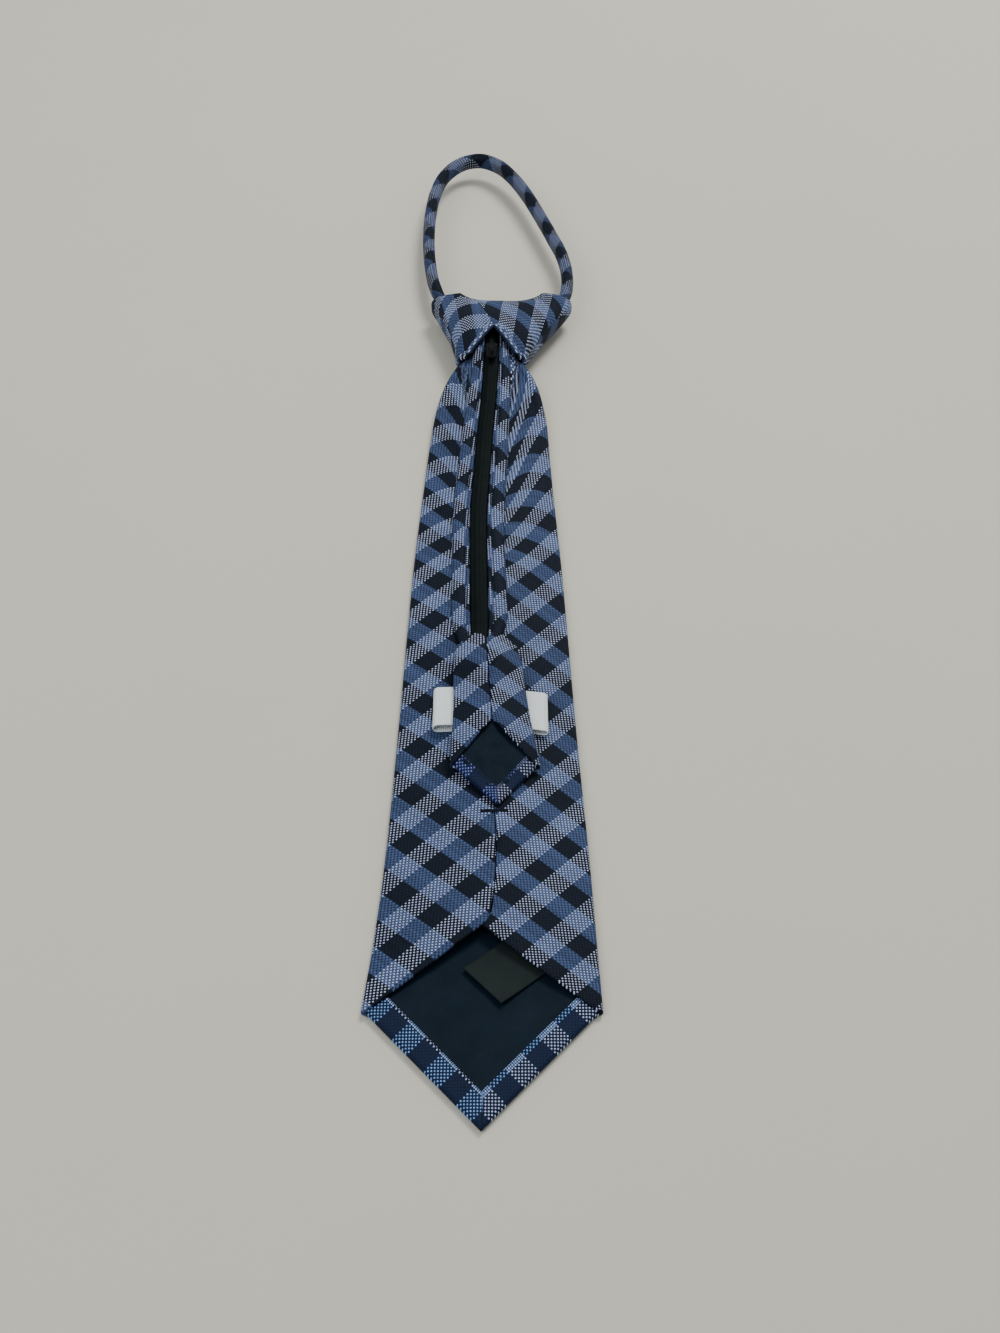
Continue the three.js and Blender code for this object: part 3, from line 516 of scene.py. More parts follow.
def cloth_shell(name, grid, material, round_sides=(), loop=False, rim_steps=4):
    """Closed sheet through rows that each hold outer points, inner points and fabric coordinates.

    round_sides names the borders with a rolled edge, and a loop has its rows closed to rings.
    """
    outer, inner, uvs = zip(*grid)
    rows = len(outer)
    columns = len(outer[0])
    inner_start = rows * columns
    points = [Vector(point) for line in outer + inner for point in line]
    places = [place for line in uvs + uvs for place in line]
    faces = []

    def at(row, column):
        return row * columns + column % columns

    for row in range(rows - 1):
        for column in range(columns if loop else columns - 1):
            quad = (at(row, column), at(row + 1, column), at(row + 1, column + 1), at(row, column + 1))
            faces.append(quad)
            faces.append(tuple(inner_start + index for index in reversed(quad)))

    # Each border's points with their neighbours further in
    borders = {
        "first": [(at(0, column), at(1, column)) for column in range(columns)],
        "last": [(at(rows - 1, column), at(rows - 2, column)) for column in range(columns)],
    }
    if not loop:
        borders["left"] = [(at(row, 0), at(row, 1)) for row in range(rows)]
        borders["right"] = [(at(row, columns - 1), at(row, columns - 2)) for row in range(rows)]
    for side, border in borders.items():
        bands = [[index for index, _ in border]]
        if side in round_sides:
            arcs = []
            for index, beside in border:
                outward = (points[index] - points[beside]).normalized()
                arcs.append(rim_points(points[index], points[inner_start + index], outward, rim_steps))
            for band in zip(*arcs):
                bands.append(list(range(len(points), len(points) + len(band))))
                points.extend(band)
                places.extend([places[index] for index, _ in border])
        bands.append([inner_start + index for index, _ in border])
        for upper, lower in zip(bands, bands[1:]):
            for k in range(len(border) - 1):
                faces.append((upper[k + 1], upper[k], lower[k], lower[k + 1]))
            if loop:
                faces.append((upper[0], upper[-1], lower[-1], lower[0]))
    return closed_mesh(name, points, places, faces, material)


def tube_piece(name, tubes, material):
    """Piece of closed tubes with filled ends. Each tube has rings of points and their fabric coordinates."""
    points = []
    places = []
    faces = []
    for rings, uvs in tubes:
        start = len(points)
        count = len(rings[0])
        points.extend(point for ring in rings for point in ring)
        places.extend(place for ring in uvs for place in ring)
        for near in range(start, len(points) - count, count):
            for k in range(count):
                after = (k + 1) % count
                faces.append((near + k, near + after, near + count + after, near + count + k))
        faces.append(tuple(range(start, start + count)))
        faces.append(tuple(range(len(points) - count, len(points))))
    return closed_mesh(name, points, places, faces, material)


def set_back(line, thickness):
    """Line of (x, z) points set back by the thickness of the cloth."""
    found = []
    for index, point in enumerate(line):
        before = line[max(index - 1, 0)]
        after = line[min(index + 1, len(line) - 1)]
        dx = after[0] - before[0]
        dz = after[1] - before[1]
        length = math.hypot(dx, dz)
        found.append((point[0] - dz / length * thickness, point[1] + dx / length * thickness))
    return found


# Folded form: a front panel whose two sides fold over to meet at a seam on the back


def form_columns(flap_steps, fold_steps, panel_steps):
    """Columns across a folded form; the flap's columns lie closer together at the seam and the edge."""
    shares = [(1 - math.cos(math.pi * step / flap_steps)) / 2 for step in range(flap_steps + 1)]
    flap = [("flap", -1, share) for share in shares]
    fold = [("fold", -1, math.pi * (0.5 - step / fold_steps)) for step in range(1, fold_steps)]
    panel = [("panel", 0, 2 * step / panel_steps - 1) for step in range(panel_steps + 1)]
    other_fold = [("fold", 1, angle) for _, _, angle in reversed(fold)]
    other_flap = [("flap", 1, share) for share in reversed(shares)]
    return flap + fold + panel + other_fold + other_flap


def back_height(state, share):
    crown = 1 - share ** CROWN_POWER
    groove = clamp((share - PLEAT_FROM) / (1 - PLEAT_FROM), 0, 1)
    pleat = state["pleat"] * math.sin(math.pi * groove) ** 2
    return state["edge"] + (state["ridge"] - state["edge"]) * crown - pleat


def blade_state(y):
    return scaled_values(BLADE_SECTIONS, (y - BLADE_POINT) / (BLADE_LENGTH - BLADE_POINT), BLADE_SIZES)


def blade_back(x, y):
    state = blade_state(y)
    reach = state["half"] - state["edge"] / 2
    share = clamp(abs(x - state["middle"]) / reach, 0, 1)
    return state["lift"] + back_height(state, share)


def tail_state(y):
    state = scaled_values(TAIL_SECTIONS, (y - TAIL_CORNER) / (TAIL_TOP - TAIL_CORNER), TAIL_SIZES)
    state["middle"] = TAIL_SHIFT - TAIL_LEAN * (y - TAIL_TIP) / TAIL_LENGTH
    state["pleat"] = 0
    return state


def keeper_height(x):
    share = clamp((x - KEEPER_SHIFT) / KEEPER_WIDTH + 0.5, 0, 1)
    return lerp(KEEPER_HEIGHT_LEFT, KEEPER_HEIGHT_RIGHT, share)


def keeper_ride(x, y):
    low = KEEPER_Y - TAIL_RAMP_MARGIN
    high = KEEPER_Y + KEEPER_RIBBON + TAIL_RAMP_MARGIN
    up = smoothstep(y, low - TAIL_RAMP, low)
    down = 1 - smoothstep(y, high, high + TAIL_RAMP)
    return (keeper_height(x) + REST_GAP) * up * down


def tail_floor(x, y):
    return blade_back(x, y) + REST_GAP + keeper_ride(x, y)


BLADE_FORM = {
    "name": "blade",
    "tip": 0,
    "corner": BLADE_POINT,
    "mouth": BLADE_MOUTH,
    "end": BLADE_LENGTH + BLADE_TUCK,
    "cloth": BLADE_CLOTH,
    "hem": BLADE_HEM,
    "tuck": LINING_TUCK,
    "state": blade_state,
    "base": lambda x, y: blade_state(y)["lift"],
    "puff": 0,
    "steps": (44, 8, 40),
    "rows": 240,
    "row_power": 1.15,
    "seam_dip": 0.45,
    "seam_width": 1.2,
    "seam": BLADE_SEAM,
    "mouth_drop": {-1: 0, 1: 3.8},
    "pull": THROAT_PULL,
    "folds": THROAT_FOLDS,
    "hem_start": 9,
    "hem_shift": 0,
    "flat": (2 * BLADE_WIDTH, BLADE_LENGTH + BLADE_TUCK),
    "hem_flat": (1.5 * BLADE_HEM, 132),
    "lining_flat": (58, 58),
    "facts": {},
}
TAIL_FORM = {
    "name": "tail",
    "tip": TAIL_TIP,
    "corner": TAIL_CORNER,
    "mouth": TAIL_TIP + TAIL_MOUTH,
    "end": TAIL_TOP,
    "cloth": TAIL_CLOTH,
    "hem": TAIL_HEM,
    "tuck": LINING_TUCK / 2,
    "state": tail_state,
    "base": tail_floor,
    "puff": TAIL_PUFF,
    "steps": (24, 6, 24),
    "rows": 110,
    "row_power": 1,
    "seam_dip": 1.3,
    "seam_width": 1.9,
    "seam": NO_SHIFT,
    "mouth_drop": {-1: 0, 1: 0},
    "pull": NO_SHIFT,
    "folds": {},
    "hem_start": 4.5,
    "hem_shift": 3.4,
    "flat": (2 * TAIL_WIDTH, TAIL_LENGTH + TAIL_PUFF),
    "hem_flat": (1.85 * TAIL_HEM, 45),
    "lining_flat": (24, 24),
    "facts": {"rests_on": ["keeper_ribbon", "blade_cloth"]},
}


def form_start(form, column):
    kind, side, share = column
    if kind == "flap":
        return lerp(form["mouth"] - form["mouth_drop"][side], form["corner"], share)
    if kind == "panel":
        return lerp(form["tip"], form["corner"], abs(share)) + HEM_ROOM * (1 - share ** HEM_ROOM_POWER)
    return form["corner"]


def seam_shift(form, side, y):
    """How far the seam lies from the form's middle line, for the flap on one side."""
    return smooth_value(form["seam"], SIDE_NAMES[side], y)


def fold_share(form, side, x, y):
    """Share of the way across a fold at the throat, or None beside the folds."""
    rows = form["folds"].get(side)
    if not rows or y < rows[0]["at"]:
        return None
    inner = line_value(rows, "inner", y)
    outer = line_value(rows, "outer", y)
    share = (x - inner) / (outer - inner) if outer != inner else 2
    return share if 0 < share < 1 else None


def form_point(form, column, y):
    """Place (x, z) on the outside of a folded form, before its base is added."""
    kind, side, share = column
    state = form["state"](y)
    radius = state["edge"] / 2
    reach = state["half"] - radius
    if kind == "flap":
        seam = seam_shift(form, side, y)
        offset = lerp(seam + side * SEAM_GAP / 2, side * reach, share)
        x = state["middle"] + offset
        away = abs(offset - seam)
        dip = form["seam_dip"] * bump(away, form["seam_width"])
        pucker = PUCKER_HEIGHT * math.sin(2 * math.pi * y / PUCKER_PITCH + side) * bump(away, PUCKER_REACH)
        wave = ripple(form["name"], x, y, side) * math.sin(math.pi * share)
        fold = fold_share(form, side, x, y)
        rise = THROAT_FOLD_HEIGHT * math.sin(math.pi * fold) if fold else 0
        return x, back_height(state, share) - dip + pucker + wave + rise
    if kind == "fold":
        x = state["middle"] + side * (reach + radius * math.cos(share))
        return x, radius + radius * math.sin(share)
    return state["middle"] + share * reach, 0


def flap_fabric(form, side, x, y):
    """Fabric coordinates on a flap; towards the throat the cloth is pulled askew, more on the right."""
    if fold_share(form, side, x, y):
        row = THROAT_FOLD_CHECKS[side]
        return row["i"] + (x - row["x"]) / CHECK_PERIOD, row["j"] + (row["y"] - y) / row["length"]
    state = form["state"](y)
    inward = max(state["half"] - side * (x - state["middle"]), 0)
    pull = smooth_value(form["pull"], SIDE_NAMES[side], y) / THROAT_PULL_WIDTH
    return checks(f"{form['name']}_{SIDE_NAMES[side]}", x, y + pull * inward * inward)


def form_fabric(form, columns, ys):
    """Fabric coordinates across one row of a folded form.

    The flaps follow their own lattice, the folds carry it round the edge, and the front panel passes from
    the one side's lattice, unfolded, to the other's.
    """
    found = []
    for column, y in zip(columns, ys):
        kind, side, share = column
        state = form["state"](y)
        radius = state["edge"] / 2
        reach = state["half"] - radius
        if kind == "flap":
            offset = lerp(seam_shift(form, side, y), side * reach, share)
            found.append(flap_fabric(form, side, state["middle"] + offset, y))
        elif kind == "fold":
            x = state["middle"] + side * (reach + radius * (math.pi / 2 - share))
            found.append(flap_fabric(form, side, x, y))
        else:
            below = max(form["corner"] - y, 0)
            taper = state["half"] - form["state"](y + below + 1)["half"]
            edge = reach + taper * below
            places = []
            for edge_side in (-1, 1):
                inward = edge - edge_side * share * reach
                x = state["middle"] + edge_side * (edge + math.pi * radius + inward)
                places.append(flap_fabric(form, edge_side, x, y + 2 * taper * inward))
            found.append(tuple(lerp(a, b, (share + 1) / 2) for a, b in zip(*places)))
    return found


def folded_cloth(form, name, material):
    columns = form_columns(*form["steps"])
    base = form["base"]
    grid = []
    for row in range(form["rows"] + 1):
        share = 1 - (1 - row / form["rows"]) ** form["row_power"]
        ys = []
        for column in columns:
            end = form["end"]
            if column[0] == "flap":
                end += form["puff"] * math.sqrt(max(1 - (2 * column[2] - 1) ** 2, 0))
            ys.append(lerp(form_start(form, column), end, share))
        line = [form_point(form, column, y) for column, y in zip(columns, ys)]
        back = set_back(line, form["cloth"])
        outer = [(x, y, z + base(x, y)) for (x, z), y in zip(line, ys)]
        inner = [(x, y, z + base(x, y)) for (x, z), y in zip(back, ys)]
        grid.append((outer, inner, form_fabric(form, columns, ys)))
    return cloth_shell(name, grid, material, round_sides=("first", "last"))


def spread(points, steps):
    """Line with extra points spread evenly between the given ones."""
    line = []
    for start, end in zip(points, points[1:]):
        for step in range(steps):
            t = step / steps
            line.append((lerp(start[0], end[0], t), lerp(start[1], end[1], t)))
    line.append(points[-1])
    return line


def mouth_plan(form):
    """Plan of the open mouth: the hem's outer and inner lines, and the lining's four corners."""
    state = form["state"](form["corner"])
    half = state["half"] - state["edge"] / 2
    rise = form["corner"] - form["tip"]
    slant = math.hypot(half, rise)
    along_x = half / slant
    along_y = rise / slant
    flap_slope = (form["mouth"] - form["corner"]) / half
    margin = 2 * PIECE_GAP
    tip_x = form["state"](form["tip"])["middle"]

    def reach_at(inset):
        top = form["mouth"] - form["tip"] - margin
        return (top - inset * along_x + flap_slope * inset * along_y) / (along_y + flap_slope * along_x)

    def place(side, inset, reach):
        y = form["tip"] + reach * along_y + inset * along_x
        drift = form["state"](y)["middle"] - tip_x
        return tip_x + side * (reach * along_x - inset * along_y) + drift, y

    def foot(inset):
        return inset * along_y / along_x

    def line(inset):
        reach = reach_at(inset) if inset else min(reach_at(0), slant - margin)
        return [place(-1, inset, reach), place(1, inset, foot(inset)), place(1, inset, reach)]

    return {"line": line, "head": (form["state"](form["mouth"])["middle"], form["mouth"] + form["tuck"])}


# Profile of a hem across its width. inset: share of the hem's width from its outer line, up: share of its
# full height. It starts under the front cloth's edge, rolls round and ends in a turned inner fold.
HEM_PROFILE = table("inset up", [
    (0.13, 0.0),
    (0.06, 0.02),
    (0.015, 0.2),
    (0.0, 0.5),
    (0.015, 0.8),
    (0.06, 0.95),
    (0.16, 1.0),
    (0.3, 1.0),
    (0.5, 0.98),
    (0.7, 0.98),
    (0.83, 1.0),
    (0.865, 0.84),
    (0.9, 0.98),
    (0.96, 1.04),
    (1.0, 0.98),
    (1.02, 0.8),
])


def hem_cloth(form, name, material):
    """Hem along both sides of the point, rolled round the front cloth's edge and mitred at the tip."""
    plan = mouth_plan(form)
    base = form["base"]
    height = 2 * form["cloth"] + PIECE_GAP
    profile = [(row["inset"] * form["hem"], row["up"] * height) for row in HEM_PROFILE]
    grid = []
    # The inner side of the hem's cloth lies to the right of the profile's course
    for row, (inset, up), (under_inset, under_up) in zip(HEM_PROFILE, profile, set_back(profile, -HEM_CLOTH)):
        line = spread(plan["line"](inset), HEM_LENGTH_STEPS)
        under = spread(plan["line"](under_inset), HEM_LENGTH_STEPS)
        waves = [ripple("hem", x, y) * row["up"] for x, y in line]
        outer = [(x, y, up + wave + base(x, y)) for (x, y), wave in zip(line, waves)]
        inner = [(x, y, under_up + wave + base(x, y)) for (x, y), wave in zip(under, waves)]
        across = inset + form["hem_shift"]
        fabric = []
        for step, place in enumerate(line):
            along = math.dist(place, line[HEM_LENGTH_STEPS]) + inset
            repeat = (along - form["hem_start"]) / CHECK_PERIOD + 0.5
            if step <= HEM_LENGTH_STEPS:
                fabric.append(((across - HEM_BAND_LEFT) / CHECK_PERIOD, repeat))
            else:
                fabric.append((repeat, (across - HEM_BAND_RIGHT) / CHECK_PERIOD))
        grid.append((outer, inner, fabric))
    return cloth_shell(name, grid, material, round_sides=("first", "last"))


def lining_cloth(form, name, material):
    """Lining in the open mouth, with soft wrinkles."""
    kind = f"{form['name']}_lining"
    wrinkle = RIPPLES[kind][0]
    plan = mouth_plan(form)
    left, foot, right = plan["line"](form["hem"] - LINING_UNDER_HEM)
    low = spread([foot, right], LINING_STEPS)
    high = spread([left, plan["head"]], LINING_STEPS)
    grid = []
    for row in range(LINING_STEPS + 1):
        t = row / LINING_STEPS
        top = []
        for a, b in zip(low, high):
            x = lerp(a[0], b[0], t)
            y = lerp(a[1], b[1], t)
            under = form["base"](x, y) + form["cloth"] + PIECE_GAP
            top.append((x, y, under + LINING_CLOTH + (wrinkle + ripple(kind, x, y)) / 2))
        grid.append((top, [(x, y, z - LINING_CLOTH) for x, y, z in top], [(x, y) for x, y, _ in top]))
    return cloth_shell(name, grid, material)


def label_cloth(material):
    """Care label with nothing printed on it; its free end curls up a little."""
    turn = math.radians(LABEL_TURN)
    steps = 28
    rows = 24
    base = BLADE_CLOTH + PIECE_GAP + LINING_THICKNESS + PIECE_GAP
    grid = []
    for row in range(rows + 1):
        across = LABEL_WIDTH * row / rows
        alongs = [LABEL_LENGTH * step / steps for step in range(steps + 1)]
        line = []
        for along in alongs:
            x = LABEL_CORNER[0] + math.cos(turn) * along - math.sin(turn) * across
            y = LABEL_CORNER[1] + math.sin(turn) * along + math.cos(turn) * across
            free = 1 - along / LABEL_LENGTH
            curl = LABEL_CURL * free ** 3 + free * ripple("label", x, y)
            line.append((x, y, base + LABEL_THICKNESS + curl))
        under = [(x, y, z - LABEL_THICKNESS) for x, y, z in line]
        grid.append((line, under, [(along, across) for along in alongs]))
    return cloth_shell("care_label_cloth", grid, material, round_sides=("left",), rim_steps=3)


def keeper_cloth(material):
    """White ribbed ribbon, sewn across the seam as a flattened ring."""
    left_radius = KEEPER_HEIGHT_LEFT / 2
    right_radius = KEEPER_HEIGHT_RIGHT / 2
    left = KEEPER_SHIFT - KEEPER_WIDTH / 2 + left_radius
    right = KEEPER_SHIFT + KEEPER_WIDTH / 2 - right_radius
    flat_steps = 48
    end_steps = 14
    flat_shares = [step / flat_steps for step in range(flat_steps)]
    turns = [math.pi * (0.5 + step / end_steps) for step in range(end_steps)]
    line = [(lerp(right, left, t), lerp(KEEPER_HEIGHT_RIGHT, KEEPER_HEIGHT_LEFT, t)) for t in flat_shares]
    line += [(left + left_radius * math.cos(a), left_radius * (1 + math.sin(a))) for a in turns]
    line += [(lerp(left, right, t), 0) for t in flat_shares]
    line += [(right - right_radius * math.cos(a), right_radius * (1 - math.sin(a))) for a in turns]
    back = set_back([line[-1]] + line + [line[0]], KEEPER_THICKNESS)[1:-1]
    lengths = running_lengths(line)

    def place(x, z, across):
        y = KEEPER_Y + across + KEEPER_SLOPE * (x - KEEPER_SHIFT)
        sway = ripple("keeper", x, y) if z > 1 else 0
        return x, y, z + sway + blade_back(x, y) + REST_GAP

    rows = 20
    grid = []
    for row in range(rows + 1):
        across = KEEPER_RIBBON * row / rows
        outer = [place(x, z, across) for x, z in line]
        inner = [place(x, z, across) for x, z in back]
        grid.append((outer, inner, [(length, across) for length in lengths]))
    borders = ("first", "last")
    return cloth_shell("keeper_ribbon", grid, material, round_sides=borders, loop=True, rim_steps=3)


# Zipper


def zip_state(y):
    return scaled_values(ZIP_COURSE, (y - TAIL_TOP) / (KNOT_START - TAIL_TOP), ZIP_SIZES)


def zip_floor(x, y):
    climb = TAIL_CLOTH + PIECE_GAP
    top = TAIL_TOP + TAIL_PUFF
    return tail_floor(x, y) + climb * (1 - smoothstep(y, top, top + ZIP_RAMP))


# Section of a zipper band, from its inner foot over the top to its outer foot. across: share of its
# width from the zipper, up: share of its thickness. A groove parts the narrow inner fold from the rest.
BAND_PROFILE = table("across up", [
    (0.02, 0.0),
    (0.0, 0.35),
    (0.02, 0.62),
    (0.08, 0.76),
    (0.16, 0.74),
    (0.21, 0.5),
    (0.25, 0.52),
    (0.31, 0.84),
    (0.42, 0.97),
    (0.58, 1.0),
    (0.74, 0.96),
    (0.87, 0.8),
    (0.96, 0.5),
    (1.0, 0.2),
    (0.97, 0.0),
    (0.66, 0.0),
    (0.33, 0.0),
])


def band_cloth(side, name, material):
    """Cloth band beside the zipper, as a closed folded strip. Its narrow inner fold shows other squares."""
    rows = 190
    rings = []
    uvs = []
    for row in range(rows + 1):
        y = lerp(ZIP_START, ZIP_END, row / rows)
        state = zip_state(y)
        ring = []
        fabric = []
        for corner in BAND_PROFILE:
            x = state["middle"] + side * (state["slot"] + state["band"] * corner["across"])
            wave = ripple("band", x, y, side) * corner["up"]
            ring.append((x, y, zip_floor(x, y) + ZIP_BAND_THICKNESS * corner["up"] + wave))
            skip = ZIP_FOLD_SKIP if corner["across"] < ZIP_FOLD_SHARE else 0
            i, j = checks(f"band_{SIDE_NAMES[side]}", x - state["middle"], y)
            fabric.append((i + skip, j))
        rings.append(ring)
        uvs.append(fabric)
    return tube_piece(name, [(rings, uvs)], material)


def zipper_strip(material):
    """Black tape with the closed row of coil teeth as a ribbed ridge."""
    pitch_steps = 4
    rows = int((ZIP_END - ZIP_START) / ZIP_TOOTH_PITCH * pitch_steps)
    rings = []
    uvs = []
    chain = ZIP_CHAIN_WIDTH / 2
    for row in range(rows + 1):
        y = lerp(ZIP_START, ZIP_END, row / rows)
        state = zip_state(y)
        half = state["slot"] - PIECE_GAP
        top = ZIP_CHAIN_HEIGHT - ZIP_RIB_DROP + ZIP_RIB * math.cos(2 * math.pi * row / pitch_steps)
        # From the tape's edge over the teeth's shoulder to their crest
        side = [
            (half, ZIP_TAPE * 0.8),
            (half * 0.8, ZIP_TAPE),
            (chain * 1.02, ZIP_TAPE),
            (chain * 0.9, ZIP_TAPE + ZIP_SHOULDER),
            (chain * 0.5, top - ZIP_CREST),
            (chain * 0.14, top),
        ]
        mirrored = [(-x, z) for x, z in reversed(side)]
        outline = [(-half, 0), (0, 0), (half, 0)] + side + [(0, top - ZIP_GROOVE)] + mirrored
        rings.append([(state["middle"] + x, y, z + zip_floor(state["middle"] + x, y)) for x, z in outline])
        uvs.append([(x, y) for x, z in outline])
    return tube_piece("zipper_strip", [(rings, uvs)], material)


# Knot


def round_power(value, power):
    return math.copysign(abs(value) ** (2 / power), value)


def knot_state(at):
    sides = scaled_values(KNOT_SECTIONS, at, KNOT_SIZES)
    return {
        "at": at,
        "middle": (sides["left"] + sides["right"]) / 2,
        "half": (sides["right"] - sides["left"]) / 2,
        "centre": (sides["front"] + sides["back"]) / 2,
        "rise": (sides["back"] - sides["front"]) / 2,
        "pinch": sides["pinch"],
    }


def knot_point(state, angle):
    x = round_power(math.cos(angle), KNOT_POWER)
    z = round_power(math.sin(angle), KNOT_POWER)
    between = max(1 - (abs(x) / KNOT_CLOSED) ** KNOT_CLOSED_POWER, 0)
    close = 1 - state["pinch"] * between
    return state["middle"] + state["half"] * x, state["centre"] + state["rise"] * z * close


def knot_angle(state, x):
    share = clamp((x - state["middle"]) / state["half"], -1, 1)
    return math.acos(math.copysign(abs(share) ** (KNOT_POWER / 2), share))


def front_range(state):
    return math.pi - KNOT_RIM_TURN, 2 * math.pi + KNOT_RIM_TURN


def left_lobe_range(state):
    x = line_value(LOBE_EDGES, "left", state["at"]) * KNOT_WIDTH - KNOT_SEAM_GAP / 2
    return knot_angle(state, x), math.pi - KNOT_RIM_TURN - PIECE_GAP / state["rise"]


def right_lobe_range(state):
    x = line_value(LOBE_EDGES, "right", state["at"]) * KNOT_WIDTH + KNOT_SEAM_GAP / 2
    return KNOT_RIM_TURN + PIECE_GAP / state["rise"], knot_angle(state, x)


# How the checks lie on the knot. Each lobe has its own cloth, so each has its own row.
# across_at and along_at: a dark square's place in x and y. across and along: the check's repeat in x and y.
# fan: how far the lines lean for each millimetre of y. slope: rise of the right lobe's lines from
# KNOT_SLOPE_FROM on. bend: droop of the left lobe's lines towards its outer side, from KNOT_BEND_FROM on.
KNOT_CHECKS = table("kind across_at along_at across along fan slope bend", [
    ("left", -12.1, 471.6, 16.8, 23.7, -0.11, 0, 0.05),
    ("right", 2.7, 458.8, 17.2, 22.7, 0.1, 0.98, 0),
    ("front", 0, 450, 24, 24, 0, 0, 0),
])
KNOT_FAN_Y = 469
KNOT_SLOPE_FROM = 11.8
KNOT_BEND_FROM = -8
KNOT_SIDE_SHARE = 0.8

# Painted highlight along the knot's rolled mouth rim, as light squares laid there: its width, its end as a
# share of the length, and its squares
KNOT_RIM_WIDTH = 2.2
KNOT_RIM_TOP = 0.38
KNOT_RIM_PERIOD = 40
KNOT_RIM_HIGHLIGHT_CHECKS = {"left": (0.45, 0.3), "right": (0.45, -0.7)}


def knot_fabric(kind, state, x, z, y):
    """Fabric coordinates on the knot, spread further where the cloth turns down its sides."""
    row = next(row for row in KNOT_CHECKS if row["kind"] == kind)
    down = state["centre"] + state["rise"] - z
    x += math.copysign(KNOT_SIDE_SHARE * down, x - state["middle"])
    shift = (KNOT_FAN_Y - y) * row["fan"]
    across = (x + shift - row["across_at"]) / row["across"]
    outside = max(KNOT_BEND_FROM - x, 0)
    along = (y - row["along_at"] + row["bend"] * outside * outside) / row["along"]
    if kind == "left":
        return -along, across
    if kind == "right":
        return across, along + row["slope"] * (x - KNOT_SLOPE_FROM) / row["along"]
    return across - along, across + along


def knot_place(state, x, z):
    """Place on the knot; at its mouth the upper side reaches further towards the tip than the lower one."""
    lean = KNOT_RIM_LEAN * (z - state["centre"]) * (1 - state["at"])
    y = KNOT_START + KNOT_LENGTH * state["at"] - lean
    return x, y, z + ripple("knot", x, y)


def knot_cloth(kind, name, angle_range, columns, material):
    rows = 56
    grid = []
    for row in range(rows + 1):
        state = knot_state((row / rows) ** KNOT_ROW_POWER)
        start, end = angle_range(state)
        outer = []
        inner = []
        for column in range(columns + 1):
            angle = lerp(start, end, column / columns)
            near = [knot_point(state, angle + turn) for turn in (-KNOT_ANGLE_STEP, 0, KNOT_ANGLE_STEP)]
            outer.append(knot_place(state, *near[1]))
            inner.append(knot_place(state, *set_back(near, KNOT_CLOTH)[1]))
        mouth_x = outer[0 if kind == "left" else -1][0]
        fabric = []
        for x, y, z in outer:
            # Along the lobes' mouth rims light squares replace the check, a painted highlight on the rolled
            # edges
            near_mouth = min(abs(x - mouth_x), KNOT_LENGTH * state["at"]) < KNOT_RIM_WIDTH
            if kind != "front" and near_mouth and state["at"] < KNOT_RIM_TOP:
                i, j = KNOT_RIM_HIGHLIGHT_CHECKS[kind]
                fabric.append((i + abs(x - mouth_x) / CHECK_PERIOD, j + (y - KNOT_START) / KNOT_RIM_PERIOD))
            else:
                fabric.append(knot_fabric(kind, state, x, z, y))
        grid.append((outer, inner, fabric))
    borders = ("first", "last", "left", "right")
    return cloth_shell(name, grid, material, round_sides=borders, rim_steps=7)


# Neck loop


def even_curve(points, steps):
    """Points evenly spaced along a centripetal Catmull-Rom curve through the given ones, and its length."""
    span_steps = 24
    padded = [points[0] * 2 - points[1]] + points + [points[-1] * 2 - points[-2]]
    fine = []
    for k in range(len(points) - 1):
        near = padded[k:k + 4]
        times = [0.0]
        for a, b in zip(near, near[1:]):
            times.append(times[-1] + (b - a).length ** 0.5)
        for step in range(span_steps):
            t = lerp(times[1], times[2], step / span_steps)
            mixed = near
            for reach in (1, 2):
                mixed = [
                    a.lerp(b, (t - times[n]) / (times[n + reach] - times[n]))
                    for n, (a, b) in enumerate(zip(mixed, mixed[1:]))
                ]
            fine.append(mixed[0].lerp(mixed[1], (t - times[1]) / (times[2] - times[1])))
    fine.append(points[-1].copy())
    lengths = running_lengths(fine)
    even = []
    index = 0
    for step in range(steps + 1):
        wanted = lengths[-1] * step / steps
        while index < len(fine) - 2 and lengths[index + 1] < wanted:
            index += 1
        t = (wanted - lengths[index]) / (lengths[index + 1] - lengths[index])
        even.append(fine[index].lerp(fine[index + 1], t))
    return even, lengths[-1]


# Dark squares passed along the neck loop at distances from its left end
LOOP_SQUARES = table("at passed", [
    (-6, -1.0),
    (28.3, 0),
    (57.8, 1),
    (80.7, 2),
    (109.3, 3),
    (139.3, 4),
    (173.5, 5),
    (195.9, 6),
    (230.1, 7),
    (260.1, 8),
    (285.0, 9),
    (309.4, 10),
    (370, 12.4),
])


